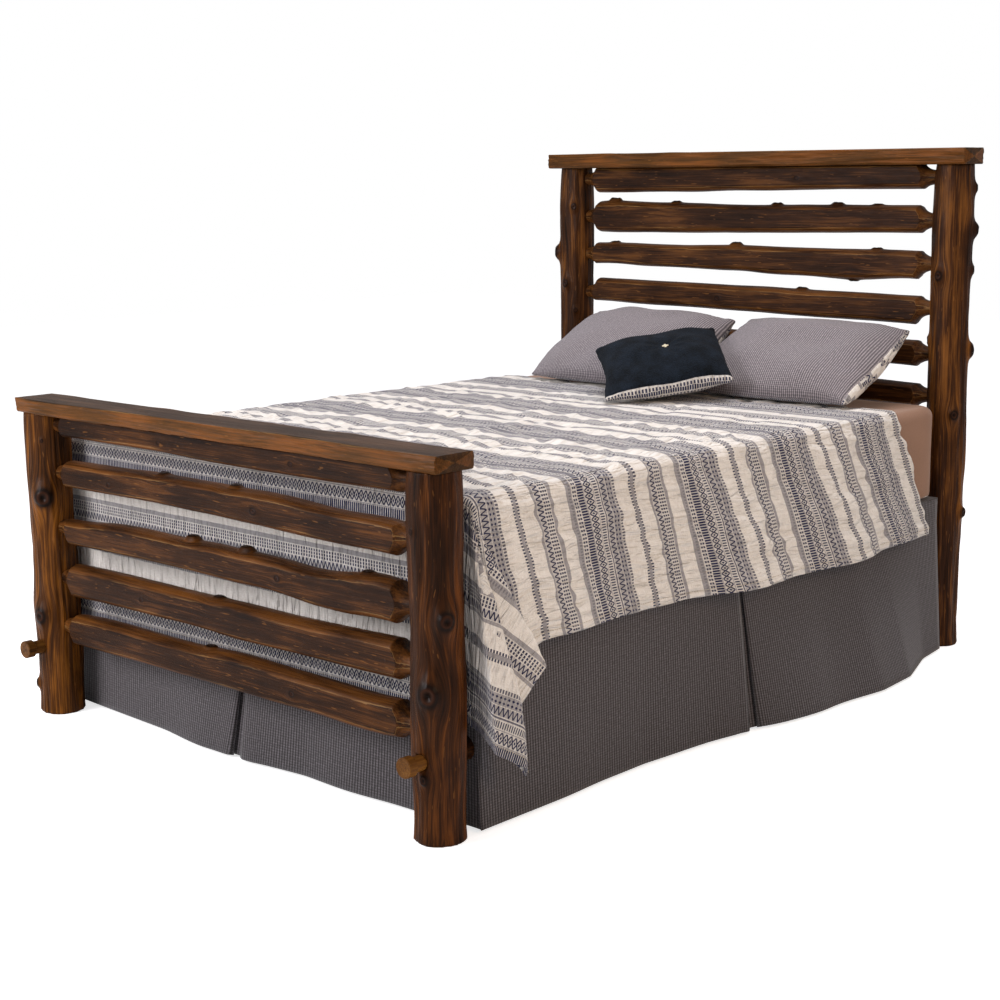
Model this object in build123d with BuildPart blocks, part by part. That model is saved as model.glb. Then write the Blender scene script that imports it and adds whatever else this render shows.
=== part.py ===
from build123d import *
from math import acos, cos, degrees, pi, radians, sin
import os

os.makedirs("parts", exist_ok=True)

# A rustic queen bed of slabbed cedar logs, dressed with its bedding. Millimetres, +X to the right
# as seen from the foot, +Y from foot to head, +Z up, the floor at z = 0.

# --- frame -----------------------------------------------------------------------------------
post_inset = 28  # of the post centres from the line of the mattress's sides
post_clearance = 84  # between the mattress's ends and the post centres
foot_post_radius = 59
head_post_radius = 55.5
foot_post_height = 829
head_post_height = 1461
foot_chamfer = 4  # broken edge round each post's foot

rail_thickness = 66  # across the two sawn faces
rail_log_radius = 45  # of the log that a rail is slabbed from, front to back
tenon_radius = 20
tenon_depth = 45  # how far each tenon enters its post
tenon_play = 0.2  # radial room round a tenon
shoulder_curve = 70  # radius of the hollow shoulder that runs out to the tenon
shoulder_reach = 62  # radius at which the shoulder leaves the log

side_rail_z = 190  # height of a side rail's axis
side_rail_top = 245  # its sawn top, which carries the slats and the box spring
side_rail_low = 128
side_log_radius = 50
side_tenon_radius = 25

foot_cap_overhang = 58  # past the post centres at each end
foot_cap_thickness = 39
foot_cap_front = 62  # overhang from the post centres, away from the mattress
foot_cap_back = 59
head_cap_overhang = 69
head_cap_thickness = 48
head_cap_front = 79  # overhang from the post centres, towards the mattress
head_cap_back = 40
cap_wave = 5  # depth of the waney front edge
cap_edge = 6  # eased lower edge of that front
dowel_radius = 8
dowel_in_post = 30
dowel_in_cap = 24

# --- bed bolts -------------------------------------------------------------------------------
bolt_seat = 53  # spot face, from the post's centre
spot_play = 0.5  # radial room round whatever stands on the spot face
bolt_radius = 5
bolt_play = 0.5
bolt_head_flats = 17
bolt_head_thickness = 6.5
washer_radius = 15
washer_thickness = 2
nut_radius = 8
nut_length = 20
nut_play = 0.1
nut_from_post = 60  # from the post's face to the barrel nut's axis
bolt_past_nut = 12
knob_length = 56
knob_radius = 23.5
knob_head = 22
knob_neck_radius = 18
knob_slope = 4  # length over which the neck widens to the head
knob_socket_radius = 10.5
knob_round = 2.5

# --- slats -----------------------------------------------------------------------------------
slat_count = 5
slat_width = 89
slat_thickness = 19
slat_pitch = 400
slat_past_rail = 21  # of each slat's ends past the side rails' middles
leg_radius = 24
screw_radius = 2.2
screw_head_radius = 4.6
screw_length = 48
screw_sunk = 3.4  # depth of the countersink
screw_taper = 35  # slope of the countersink's wall, in degrees
slat_corner = 3  # broken upright corners of a slat
leg_chamfer = 2

# --- bedding ---------------------------------------------------------------------------------
bed_width = 1524
bed_length = 2032
corner_radius = 70  # upright corners of mattress and box spring
box_spring_height = 226
deck_thickness = 3  # skirt's flat sheet between box spring and mattress
mattress_height = 275
mattress_edge = 28  # rounding of the mattress's long edges
sheet_thickness = 2
skirt_thickness = 3
skirt_hem_z = 8
skirt_split = 44  # between the foot drop's sides and the post centres, which split the corners
comforter_thickness = 14
comforter_hem_flare = 51  # how far the side hems stand out from the shoulder
comforter_shoulder = 52  # how far down it hangs straight before it flares
comforter_hem_z = 390  # the side hems' mean height
hem_curl = 4  # how far they fall short of the corner tails
hem_margin = 20
comforter_tail_z = 118  # tip of the corner folds
comforter_foot_hem_z = 255
comforter_gap = 0.5  # loose round the fitted sheet
side_break_z = 400  # the drops hang straight to here, then flare to the hem
foot_break_z = 258

pillow_gap = 1  # loose between a pillow and what it lies on
sham_width = 600
sham_depth = 405
sham_thickness = 160
sham_tilt = 28
sham_xs = (-288, 351)  # middles of the left and the right sham
sham_from_middle = 855  # middles of the shams, towards the head
toss_size = 392
toss_thickness = 150
toss_near_x = 42  # near corner of the toss pillow
toss_near_from_middle = 321
toss_near_lift = 10  # that corner's height above the comforter
toss_right_edge = (258, 271, 60)  # directions of the edges that leave that corner
toss_back_edge = (-242, 273, 118)
button_radius = 12
button_thickness = 5
button_edge = 1

# --- worked out from those -------------------------------------------------------------------
half_x = bed_width / 2 - post_inset
post_gap_y = bed_length + 2 * post_clearance
slat_half_length = half_x + slat_past_rail
skirt_foot_half_width = half_x - skirt_split
knob_face = bolt_seat + washer_thickness + knob_length
head_bolt_reach = bolt_seat + washer_thickness + bolt_head_thickness
spot_radius = max(knob_neck_radius, washer_radius) + spot_play
middle_y = (knob_face - head_bolt_reach) / 2  # puts the origin under the middle of the whole
foot_y = middle_y - post_gap_y / 2
head_y = middle_y + post_gap_y / 2
mattress_foot_y = middle_y - bed_length / 2
deck_top = side_rail_top + box_spring_height + deck_thickness
mattress_top = deck_top + mattress_height
comforter_top = mattress_top + sheet_thickness + comforter_thickness
sham_swell = ((sham_depth / 2) ** 2 + (sham_thickness / 2) ** 2) / sham_thickness  # its faces' radius
sham_lift = sham_swell - (sham_swell - sham_thickness / 2) * cos(radians(sham_tilt))


def save(piece, name):
    """Labels a finished piece and writes it to its own file."""
    piece.part.label = name
    export_step(piece.part, f"parts/{name}.step")


def swelling(centre, along, long_radius, wide_radius):
    """A knot: an egg-shaped swelling drawn out along the log, added to the part being built."""
    lengthways = Plane(origin=centre, x_dir=along, z_dir=along.cross(Vector(0.3, 0.5, 0.8)))
    with BuildSketch(lengthways) as half_oval:
        with BuildLine():
            EllipticalCenterArc((0, 0), long_radius, wide_radius, arc_size=180)
            Line((-long_radius, 0), (long_radius, 0))
        make_face()
    revolve(half_oval.sketch, axis=Axis(centre, along))


# --- posts -----------------------------------------------------------------------------------
# Each post is a peeled log. Its stations are (height share, extra radius, x shift, y shift), and
# its knots (height, bearing in degrees, half length, half width, height above the surface).
posts = {
    "footboard_post_left": {
        "at": (-half_x, foot_y),
        "radius": foot_post_radius,
        "height": foot_post_height,
        "stations": [(0, 1, 0, 0), (0.18, -1, 1, 0), (0.4, 1, -1, 1), (0.62, -1.5, 1, -1), (0.82, 0.5, 0, 0),
                     (1, -1, 0, 0)],
        "knots": [(606, -51, 34, 26, 7), (279, -77, 24, 17, 4), (80, -122, 16, 12, 4)],
    },
    "footboard_post_right": {
        "at": (half_x, foot_y),
        "radius": foot_post_radius,
        "height": foot_post_height,
        "stations": [(0, 1, 0, 0), (0.16, -1, -1, 0), (0.38, 1.5, 1, -1), (0.6, -0.5, 0, 1), (0.8, 1, -1, 0),
                     (1, -1, 0, 0)],
        "knots": [(510, -29, 24, 18, 5), (347, -63, 40, 30, 8), (153, -78, 18, 13, 4)],
    },
    "headboard_post_left": {
        "at": (-half_x, head_y),
        "radius": head_post_radius,
        "height": head_post_height,
        "stations": [(0, 2, 0, 0), (0.2, 0, 1, 0), (0.42, 1.5, -1, 0), (0.6, 0, 0, 0), (0.78, 2, 1, 0),
                     (1, -2, 0, 0)],
        "knots": [(1063, -91, 22, 16, 4), (1170, -140, 38, 24, 11), (1330, -60, 20, 15, 4)],
    },
    "headboard_post_right": {
        "at": (half_x, head_y),
        "radius": head_post_radius,
        "height": head_post_height,
        "stations": [(0, 2, 0, 0), (0.2, 0, -1, 0), (0.4, 2, 1, 0), (0.6, 1, 0, 0), (0.8, 2, -1, 0),
                     (1, -2, 0, 0)],
        "knots": [(1135, -98, 24, 17, 4), (1392, 28, 22, 16, 4), (1269, 28, 34, 22, 9), (1150, 28, 22, 16, 4),
                  (911, 28, 34, 22, 9), (418, 7, 28, 20, 8)],
    },
}

# --- head and foot rails ---------------------------------------------------------------------
# (axis, [(x, low edge, high edge)], [(x, knot's crest, +1 top or -1 bottom)]), each height measured
# down from the posts' tops.
# The last stations stand past the tenons. The uppermost rail of each end is sawn flat under its cap.
past_tenon = half_x
foot_rails = [
    (31, [(-past_tenon, 61, -9), (-400, 58, -9), (-225, 57, -9), (0, 64, -9), (375, 63, -9),
           (past_tenon, 60, -9)], []),
    (159, [(-past_tenon, 193, 127), (-540, 193, 121), (-250, 191, 115), (20, 193, 115), (220, 198, 115),
           (430, 202, 125), (past_tenon, 204, 127)], [(-222, 110, 1), (60, 109, 1)]),
    (308, [(-past_tenon, 349, 285), (-540, 349, 283), (-440, 347, 267), (-200, 346, 269), (60, 348, 266),
           (213, 349, 270), (330, 360, 275), (500, 359, 261), (past_tenon, 353, 257)],
     [(-115, 256, 1), (95, 255, 1), (520, 253, 1)]),
    (445, [(-past_tenon, 495, 403), (-380, 488, 401), (-100, 486, 402), (60, 491, 399), (290, 488, 400),
           (500, 486, 395), (past_tenon, 481, 389)], [(-20, 395, 1)]),
    (581, [(-past_tenon, 625, 545), (-440, 624, 537), (-190, 622, 539), (60, 622, 530), (330, 620, 533),
           (480, 623, 536), (past_tenon, 615, 531)], [(-60, 528, 1)]),
]
head_rails = [
    (37, [(-past_tenon, 84, -9), (-300, 81, -9), (0, 77, -9), (400, 73, -9),
            (past_tenon, 71, -9)], []),
    (165, [(-past_tenon, 217, 123), (-557, 218, 111), (-295, 216, 117), (0, 212, 122),
            (223, 209, 120), (479, 204, 120), (past_tenon, 202, 120)],
     [(-557, 100, 1), (-295, 111, 1), (110, 114, 1), (335, 112, 1), (479, 116, 1)]),
    (294, [(-past_tenon, 326, 258), (-557, 327, 254), (-300, 333, 257), (-48, 337, 252),
            (200, 345, 256), (400, 351, 256), (560, 343, 255), (past_tenon, 337, 257)],
     [(-557, 249, 1), (-48, 243, 1), (479, 250, 1), (400, 355, -1)]),
    (427, [(-past_tenon, 456, 376), (-300, 463, 381), (0, 468, 384), (350, 475, 389),
            (past_tenon, 480, 393)], [(210, 381, 1)]),
    (566, [(-past_tenon, 606, 529), (-350, 603, 524), (0, 608, 531), (350, 603, 525), (past_tenon, 606, 528)],
     [(-180, 521, 1)]),
    (693, [(-past_tenon, 727, 660), (-300, 730, 656), (100, 725, 661), (420, 728, 655), (past_tenon, 727, 660)],
     [(240, 653, 1)]),
]
knot_half_length = 30
knot_half_width = 20
loft_steps = 12


def eased(points, along):
    """The (low, high) edges at a distance along a log, running smoothly between its stations."""
    for (start, *before), (end, *after) in zip(points, points[1:]):
        if along <= end:
            share = (1 - cos(pi * (along - start) / (end - start))) / 2
            return [a + (b - a) * share for a, b in zip(before, after)]
    return points[-1][1:]


def natural_log(base, outline, half_depth, zero):
    """Lofts a log along the base plane's x, with an outline of (along, low edge, high edge)."""
    first, last = outline[0][0], outline[-1][0]
    slices = []
    for step in range(loft_steps + 1):
        along = first + (last - first) * step / loft_steps
        low, high = eased(outline, along)
        across = Plane(origin=base.from_local_coords((along, 0, 0)), x_dir=-base.z_dir, z_dir=base.x_dir)
        with BuildSketch(across) as oval:
            with Locations((0, (low + high) / 2 - zero)):
                Ellipse(half_depth, (high - low) / 2)
        slices.append(oval.sketch)
    loft(slices)


def turned_ends(base, face, end, tenon):
    """Trims the log being built to a tenon at each end, run out to the log in a hollow shoulder."""
    rise = shoulder_reach - tenon
    turn = degrees(acos((shoulder_curve - rise) / shoulder_curve))
    with BuildSketch(base) as half_profile:
        with BuildLine():
            Line((0, 0), (end, 0))
            Line((end, 0), (end, tenon))
            Line((end, tenon), (face, tenon))
            hollow = CenterArc((face, tenon + shoulder_curve), shoulder_curve, 270, -turn)
            Line(hollow @ 1, (0, shoulder_reach))
            Line((0, shoulder_reach), (0, 0))
        make_face()
        mirror(about=Plane.YZ)
    revolve(half_profile.sketch, axis=Axis(base.origin, base.x_dir), mode=Mode.INTERSECT)


def end_rails(prefix, rails, y, cap_underside, post_radius):
    """The rails between two posts, each slabbed from a log and tenoned into both."""
    face = half_x - post_radius
    for number, (drop, outline, knots) in enumerate(rails, 1):
        axis_z = cap_underside - drop
        edges = [(x, cap_underside - low, cap_underside - high) for x, low, high in outline]
        base = Plane(origin=(0, y, axis_z), x_dir=(1, 0, 0), z_dir=(0, -1, 0))
        with BuildPart() as rail:
            natural_log(base, edges, rail_log_radius, axis_z)
            for x, crest, side in knots:
                centre = Vector(x, y, cap_underside - crest - side * knot_half_width)
                swelling(centre, Vector(1, 0, 0), knot_half_length, knot_half_width)
            with BuildSketch(Plane.XY):
                with Locations((0, y)):
                    Rectangle(2 * half_x, rail_thickness)
            extrude(amount=cap_underside, mode=Mode.INTERSECT)
            turned_ends(base, face, face + tenon_depth, tenon_radius)
        save(rail, f"{prefix}_rail_{number}")


end_rails("footboard", foot_rails, foot_y, foot_post_height, foot_post_radius)
end_rails("headboard", head_rails, head_y, head_post_height, head_post_radius)

for name, log in posts.items():
    x, y = log["at"]
    radius, height = log["radius"], log["height"]
    rails = foot_rails if y == foot_y else head_rails
    inward_x = -1 if x > 0 else 1
    inward_y = 1 if y == foot_y else -1
    with BuildPart() as post:
        for share, extra, dx, dy in log["stations"]:
            with BuildSketch(Plane.XY.offset(share * height)):
                with Locations((x + dx, y + dy)):
                    Circle(radius + extra)
        loft()
        chamfer(post.faces().sort_by(Axis.Z)[0].edges(), foot_chamfer)
        for z, bearing, long_radius, wide_radius, proud in log["knots"]:
            out = radius + proud - wide_radius
            centre = Vector(x + out * cos(radians(bearing)), y + out * sin(radians(bearing)), z)
            swelling(centre, Vector(0, 0, 1), long_radius, wide_radius)
        # mortises for the rails, from the inner side
        mortise = Plane(origin=(x, y, 0), x_dir=(0, inward_x, 0), z_dir=(inward_x, 0, 0))
        with BuildSketch(mortise.offset(radius - tenon_depth)):
            with Locations([(0, height - drop) for drop, outline, knots in rails]):
                Circle(tenon_radius + tenon_play)
        extrude(amount=tenon_depth + foot_chamfer, mode=Mode.SUBTRACT)
        # mortise for the side rail, bolt hole and spot face
        along_bed = Plane(origin=(x, y, side_rail_z), x_dir=(1, 0, 0), z_dir=(0, inward_y, 0))
        with BuildSketch(along_bed.offset(radius - tenon_depth)):
            Circle(side_tenon_radius + tenon_play)
        extrude(amount=tenon_depth + foot_chamfer, mode=Mode.SUBTRACT)
        with BuildSketch(along_bed.offset(-bolt_seat)):
            Circle(bolt_radius + bolt_play)
        extrude(amount=bolt_seat + radius, mode=Mode.SUBTRACT)
        with BuildSketch(along_bed.offset(-bolt_seat)):
            Circle(spot_radius)
        extrude(amount=-radius, mode=Mode.SUBTRACT)
        # dowel hole for the cap
        with BuildSketch(Plane.XY.offset(height)):
            with Locations((x, y)):
                Circle(dowel_radius)
        extrude(amount=-dowel_in_post, mode=Mode.SUBTRACT)
    save(post, name)


# --- caps ------------------------------------------------------------------------------------
def cap(name, y, z, overhang, thickness, front, back, toward):
    """A plank along the tops of two posts, with a waney front edge; toward is its front's sign."""
    half = half_x + overhang
    waves = [(-half, 0), (-0.62 * half, 1), (-0.3 * half, -0.6), (0.05 * half, 0.8), (0.4 * half, -1),
             (0.72 * half, 0.7), (half, -0.2)]
    with BuildPart() as plank:
        with BuildSketch(Plane.XY.offset(z)):
            with BuildLine():
                edge = Spline([(x, y + toward * (front + (wave - 1) * cap_wave)) for x, wave in waves])
                Polyline(edge @ 1, (half, y - toward * back), (-half, y - toward * back), edge @ 0)
            make_face()
        extrude(amount=thickness)
        low_edges = plank.edges().group_by(Axis.Z)[0]
        chamfer(low_edges.sort_by(Axis.Y)[0 if toward < 0 else -1], cap_edge)
        with BuildSketch(Plane.XY.offset(z)):
            with Locations((-half_x, y), (half_x, y)):
                Circle(dowel_radius)
        extrude(amount=dowel_in_cap, mode=Mode.SUBTRACT)
    save(plank, name)


cap("footboard_cap", foot_y, foot_post_height, foot_cap_overhang, foot_cap_thickness, foot_cap_front,
    foot_cap_back, -1)
cap("headboard_cap", head_y, head_post_height, head_cap_overhang, head_cap_thickness, head_cap_front,
    head_cap_back, -1)

with BuildPart() as cap_dowels:
    for y, top in ((foot_y, foot_post_height), (head_y, head_post_height)):
        with BuildSketch(Plane.XY.offset(top - dowel_in_post)):
            with Locations((-half_x, y), (half_x, y)):
                Circle(dowel_radius)
        extrude(amount=dowel_in_post + dowel_in_cap)
save(cap_dowels, "cap_dowels")

# --- slats: numbered from the foot ------------------------------------------------------------
slat_bottom = side_rail_top - slat_thickness
slat_ys = [middle_y + (i - (slat_count - 1) / 2) * slat_pitch for i in range(slat_count)]
leg_ys = slat_ys[::2]
end_screws = [(x, y) for x in (-half_x, half_x) for y in slat_ys]
leg_screws = [(0, y) for y in leg_ys]


def screw_holes(spots):
    """Countersunk holes down from the slats' top, cut out of the part being built."""
    with BuildSketch(Plane.XY.offset(side_rail_top)) as heads:
        with Locations(spots):
            Circle(screw_head_radius)
    extrude(heads.sketch, amount=-screw_sunk, taper=screw_taper, mode=Mode.SUBTRACT)
    with BuildSketch(Plane.XY.offset(side_rail_top)) as shanks:
        with Locations(spots):
            Circle(screw_radius)
    extrude(shanks.sketch, amount=-screw_length, mode=Mode.SUBTRACT)


for number, y in enumerate(slat_ys, 1):
    with BuildPart() as slat:
        with BuildSketch(Plane.XY.offset(slat_bottom)):
            with Locations((0, y)):
                Rectangle(2 * slat_half_length, slat_width)
        extrude(amount=slat_thickness)
        chamfer(slat.edges().filter_by(Axis.Z), slat_corner)
        screw_holes([spot for spot in end_screws + leg_screws if spot[1] == y])
    save(slat, f"slat_{number}")

for number, y in enumerate(leg_ys, 1):
    with BuildPart() as leg:
        with BuildSketch(Plane.XY):
            with Locations((0, y)):
                Circle(leg_radius)
        extrude(amount=slat_bottom)
        chamfer(leg.faces().sort_by(Axis.Z)[0].edges(), leg_chamfer)
        screw_holes([(0, y)])
    save(leg, f"slat_leg_{number}")

with BuildPart() as slat_screws:
    with BuildSketch(Plane.XY.offset(side_rail_top)):
        with Locations(end_screws + leg_screws):
            Circle(screw_head_radius)
    extrude(amount=-screw_sunk, taper=screw_taper)
    with BuildSketch(Plane.XY.offset(side_rail_top)):
        with Locations(end_screws + leg_screws):
            Circle(screw_radius)
    extrude(amount=-screw_length)
save(slat_screws, "slat_screws")

# --- side rails ------------------------------------------------------------------------------
foot_face = foot_y + foot_post_radius
head_face = head_y - head_post_radius
side_middle = (foot_face + head_face) / 2
side_half = (head_face - foot_face) / 2
nut_ys = [(foot_face + nut_from_post, 1), (head_face - nut_from_post, -1)]
side_stations = [(-1.1, 0, 4), (-0.6, 3, 6), (-0.2, -2, 4), (0.25, 2, 7), (0.65, -3, 5), (1.1, 0, 4)]

for name, x, inner in (("side_rail_left", -half_x, 1), ("side_rail_right", half_x, -1)):
    base = Plane(origin=(x, side_middle, side_rail_z), x_dir=(0, 1, 0), z_dir=(1, 0, 0))
    with BuildPart() as rail:
        outline = [(share * side_half, side_rail_low + low, side_rail_top + high)
                   for share, low, high in side_stations]
        natural_log(base, outline, side_log_radius, side_rail_z)
        with BuildSketch(Plane.XY):
            with Locations((x, side_middle)):
                Rectangle(rail_thickness, post_gap_y)
        extrude(amount=side_rail_top, mode=Mode.INTERSECT)
        turned_ends(base, side_half, side_half + tenon_depth, side_tenon_radius)
        with BuildSketch(Plane.XY.offset(slat_bottom)):
            with Locations([(x, y) for y in slat_ys]):
                Rectangle(half_x / 2, slat_width)
        extrude(amount=slat_thickness * 2, mode=Mode.SUBTRACT)
        screw_holes([(x, y) for y in slat_ys])
        # bolt holes up the ends, and cross holes for the barrel nuts from the inner face
        for y, outward in nut_ys:
            with BuildSketch(Plane(origin=(x, y + outward * bolt_past_nut, side_rail_z), x_dir=(1, 0, 0),
                                   z_dir=(0, -outward, 0))):
                Circle(bolt_radius + bolt_play)
            extrude(amount=post_gap_y / 8, mode=Mode.SUBTRACT)
            with BuildSketch(Plane(origin=(x - inner * nut_length / 2, y, side_rail_z), x_dir=(0, 1, 0),
                                   z_dir=(inner, 0, 0))):
                Circle(nut_radius + nut_play)
            extrude(amount=rail_thickness, mode=Mode.SUBTRACT)
    save(rail, name)

# --- bolts, washers, nuts and knobs ------------------------------------------------------------
# One fastening per corner: (x, the spot face's y, +1 where the bolt runs towards the head).
corners = [(x, seat, way) for x in (-half_x, half_x) for seat, way in
           ((foot_y - bolt_seat, 1), (head_y + bolt_seat, -1))]


def bolt_plane(corner, distance):
    """The plane across a corner's bolt, distance past the spot face towards the bed's middle."""
    x, seat, way = corner
    return Plane(origin=(x, seat + way * distance, side_rail_z), x_dir=(1, 0, 0), z_dir=(0, way, 0))


with BuildPart() as bed_bolts:
    for corner in corners:
        reach = bolt_seat + (foot_post_radius if corner[2] > 0 else head_post_radius)
        with BuildSketch(bolt_plane(corner, -washer_thickness)):
            RegularPolygon(bolt_head_flats / 2, 6, major_radius=False)
        extrude(amount=-bolt_head_thickness)
        with BuildSketch(bolt_plane(corner, -washer_thickness)):
            Circle(bolt_radius)
        extrude(amount=washer_thickness + reach + nut_from_post + bolt_past_nut)
save(bed_bolts, "bed_bolts")

with BuildPart() as bolt_washers:
    for corner in corners:
        with BuildSketch(bolt_plane(corner, 0)):
            Circle(washer_radius)
            Circle(bolt_radius + bolt_play, mode=Mode.SUBTRACT)
        extrude(amount=-washer_thickness)
save(bolt_washers, "bolt_washers")

with BuildPart() as barrel_nuts:
    for x in (-half_x, half_x):
        for y, outward in nut_ys:
            with BuildSketch(Plane(origin=(x - nut_length / 2, y, side_rail_z), x_dir=(0, 1, 0),
                                   z_dir=(1, 0, 0))):
                Circle(nut_radius)
            extrude(amount=nut_length)
            with BuildSketch(Plane(origin=(x, y - nut_radius, side_rail_z), x_dir=(1, 0, 0),
                                   z_dir=(0, 1, 0))):
                Circle(bolt_radius)
            extrude(amount=2 * nut_radius, mode=Mode.SUBTRACT)
save(barrel_nuts, "barrel_nuts")

for name, x in (("bolt_knob_left", -half_x), ("bolt_knob_right", half_x)):
    base_y = foot_y - bolt_seat - washer_thickness
    with BuildPart() as knob:
        with BuildSketch(Plane(origin=(x, base_y, side_rail_z), x_dir=(0, -1, 0), z_dir=(1, 0, 0))):
            with BuildLine():
                Polyline((bolt_head_thickness, 0), (bolt_head_thickness, knob_socket_radius),
                         (0, knob_socket_radius), (0, knob_neck_radius),
                         (knob_length - knob_head - knob_slope, knob_neck_radius))
                Line((knob_length - knob_head - knob_slope, knob_neck_radius),
                     (knob_length - knob_head, knob_radius))
                Line((knob_length - knob_head, knob_radius), (knob_length - knob_round, knob_radius))
                CenterArc((knob_length - knob_round, knob_radius - knob_round), knob_round, 0, 90)
                Polyline((knob_length, knob_radius - knob_round), (knob_length, 0), (bolt_head_thickness, 0))
            make_face()
        revolve(axis=Axis((x, base_y, side_rail_z), (0, -1, 0)))
    save(knob, name)


# --- mattress, box spring and sheet -------------------------------------------------------------
def bed_block(z, height, grow):
    """A block with the bed's plan, rounded at its upright corners; grow widens it all round."""
    with BuildSketch(Plane.XY.offset(z)) as plan:
        with Locations((0, middle_y)):
            RectangleRounded(bed_width + 2 * grow, bed_length + 2 * grow, corner_radius + grow)
    extrude(plan.sketch, amount=height)


with BuildPart() as box_spring:
    bed_block(side_rail_top, box_spring_height, 0)
save(box_spring, "box_spring")

with BuildPart() as mattress:
    bed_block(deck_top, mattress_height, 0)
    fillet(mattress.faces().sort_by(Axis.Z)[-1].edges(), mattress_edge)
save(mattress, "mattress")

with BuildPart() as fitted_sheet:
    bed_block(deck_top, mattress_height + sheet_thickness, sheet_thickness)
    fillet(fitted_sheet.faces().sort_by(Axis.Z)[-1].edges(), mattress_edge + sheet_thickness)
    add(mattress.part, mode=Mode.SUBTRACT)
save(fitted_sheet, "fitted_sheet")

# --- bed skirt -------------------------------------------------------------------------------
# How far the hem stands out from the deck's edge: down the sides, by distance from the foot, and
# across the foot, by x.
side_hems = [(0, 18), (600, 20), (965, 50), (1260, 108), (1530, 126), (1700, 110), (1890, 46),
             (bed_length - 6, 26)]
foot_hems = [(-1, 14), (-0.5, 24), (-0.1, 46), (0.04, 46), (0.3, 26), (1, 14)]


def drop_section(edge, hem, toward, break_z):
    """A slice across a hanging drop: straight down from the deck's edge, then out to the hem."""
    outer = edge + toward * skirt_thickness
    with BuildLine() as outline:
        Polyline((edge - toward, deck_top), (outer, deck_top), (outer, break_z),
                 (outer + toward * hem, skirt_hem_z), (edge + toward * hem, skirt_hem_z),
                 (edge, break_z), (edge, deck_top - deck_thickness),
                 (edge - toward, deck_top - deck_thickness), close=True)
    make_face(outline.edges())


with BuildPart() as bed_skirt:
    with BuildSketch(Plane.XY.offset(deck_top - deck_thickness)):
        with Locations((0, middle_y)):
            Rectangle(bed_width, bed_length)
    extrude(amount=deck_thickness)
    for side in (-1, 1):
        for along, hem in side_hems:
            with BuildSketch(Plane.XZ.offset(-(mattress_foot_y + along))):
                drop_section(side * bed_width / 2, hem, side, side_break_z)
        loft(ruled=True)
    for share, hem in foot_hems:
        with BuildSketch(Plane.YZ.offset(share * skirt_foot_half_width)):
            drop_section(mattress_foot_y, hem, -1, foot_break_z)
    loft(ruled=True)
save(bed_skirt, "bed_skirt")

# --- comforter -------------------------------------------------------------------------------
inner_half = bed_width / 2 + sheet_thickness + comforter_gap
hem_half = inner_half + comforter_hem_flare
foot_inner_y = mattress_foot_y - skirt_thickness - comforter_gap
# its edge as seen from the side: (from the foot, height)
side_edge = [(-20, comforter_tail_z + 14), (82, comforter_tail_z), (112, 300), (156, 420), (416, 414),
             (736, 405), (1186, 385), (1706, 388), (1911, 384), (1890, 520), (1816, 700), (1761, 790),
             (-20, 790)]


def drape(grow):
    """The comforter's section across the bed, grown by its thickness for the outside."""
    top = comforter_top - comforter_thickness + grow
    shoulder_z = top - comforter_shoulder
    below = comforter_tail_z - hem_margin
    with BuildLine() as outline:
        half = Polyline((0, below), (hem_half + grow, below), (hem_half + grow - hem_curl, comforter_hem_z),
                        (inner_half + grow, shoulder_z), (inner_half + grow, top), (0, top))
        mirror(half, about=Plane.YZ)
    make_face(outline.edges())


with BuildPart() as comforter:
    with BuildSketch(Plane.XZ.offset(-(foot_inner_y - comforter_thickness))):
        drape(comforter_thickness)
    extrude(amount=-(bed_length + comforter_thickness))
    with BuildSketch(Plane.XZ.offset(-foot_inner_y)):
        drape(0)
    extrude(amount=-(bed_length * 1.1), mode=Mode.SUBTRACT)
    with BuildSketch(Plane.YZ.offset(-hem_half - 2 * comforter_thickness)):
        with BuildLine():
            Polyline([(mattress_foot_y + along, z) for along, z in side_edge], close=True)
        make_face()
    extrude(amount=2 * hem_half + 4 * comforter_thickness, mode=Mode.INTERSECT)
    with BuildSketch(Plane.XY):
        with Locations((0, foot_inner_y)):
            Rectangle(2 * inner_half, 3 * comforter_thickness)
    extrude(amount=comforter_foot_hem_z, mode=Mode.SUBTRACT)
save(comforter, "comforter")


# --- pillows ---------------------------------------------------------------------------------
def swelling_section(across, span, thickness):
    """A pillow's section: two seams a span apart, and a face that swells to each side."""
    with BuildSketch(across) as section:
        with BuildLine():
            half = ThreePointArc((-span / 2, 0), (0, thickness / 2), (span / 2, 0))
            mirror(half, about=Plane.XZ)
        make_face()
    return section.sketch


def cushion(lying, width, depth, thickness):
    """A stuffed pillow: its seam lies in the plane, and its faces swell both ways from there."""
    along_depth = Plane(origin=lying.origin, x_dir=lying.x_dir, z_dir=-lying.y_dir)
    extrude(swelling_section(along_depth, width, thickness), amount=depth / 2, both=True)
    along_width = Plane(origin=lying.origin, x_dir=lying.y_dir, z_dir=lying.x_dir)
    extrude(swelling_section(along_width, depth, thickness), amount=width / 2, both=True,
            mode=Mode.INTERSECT)


for name, x in zip(("sham_left", "sham_right"), sham_xs):
    lying = Plane(origin=(x, middle_y + sham_from_middle, comforter_top + pillow_gap + sham_lift),
                  x_dir=(1, 0, 0), z_dir=(0, -sin(radians(sham_tilt)), cos(radians(sham_tilt))))
    with BuildPart() as sham:
        cushion(lying, sham_width, sham_depth, sham_thickness)
    save(sham, name)

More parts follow.
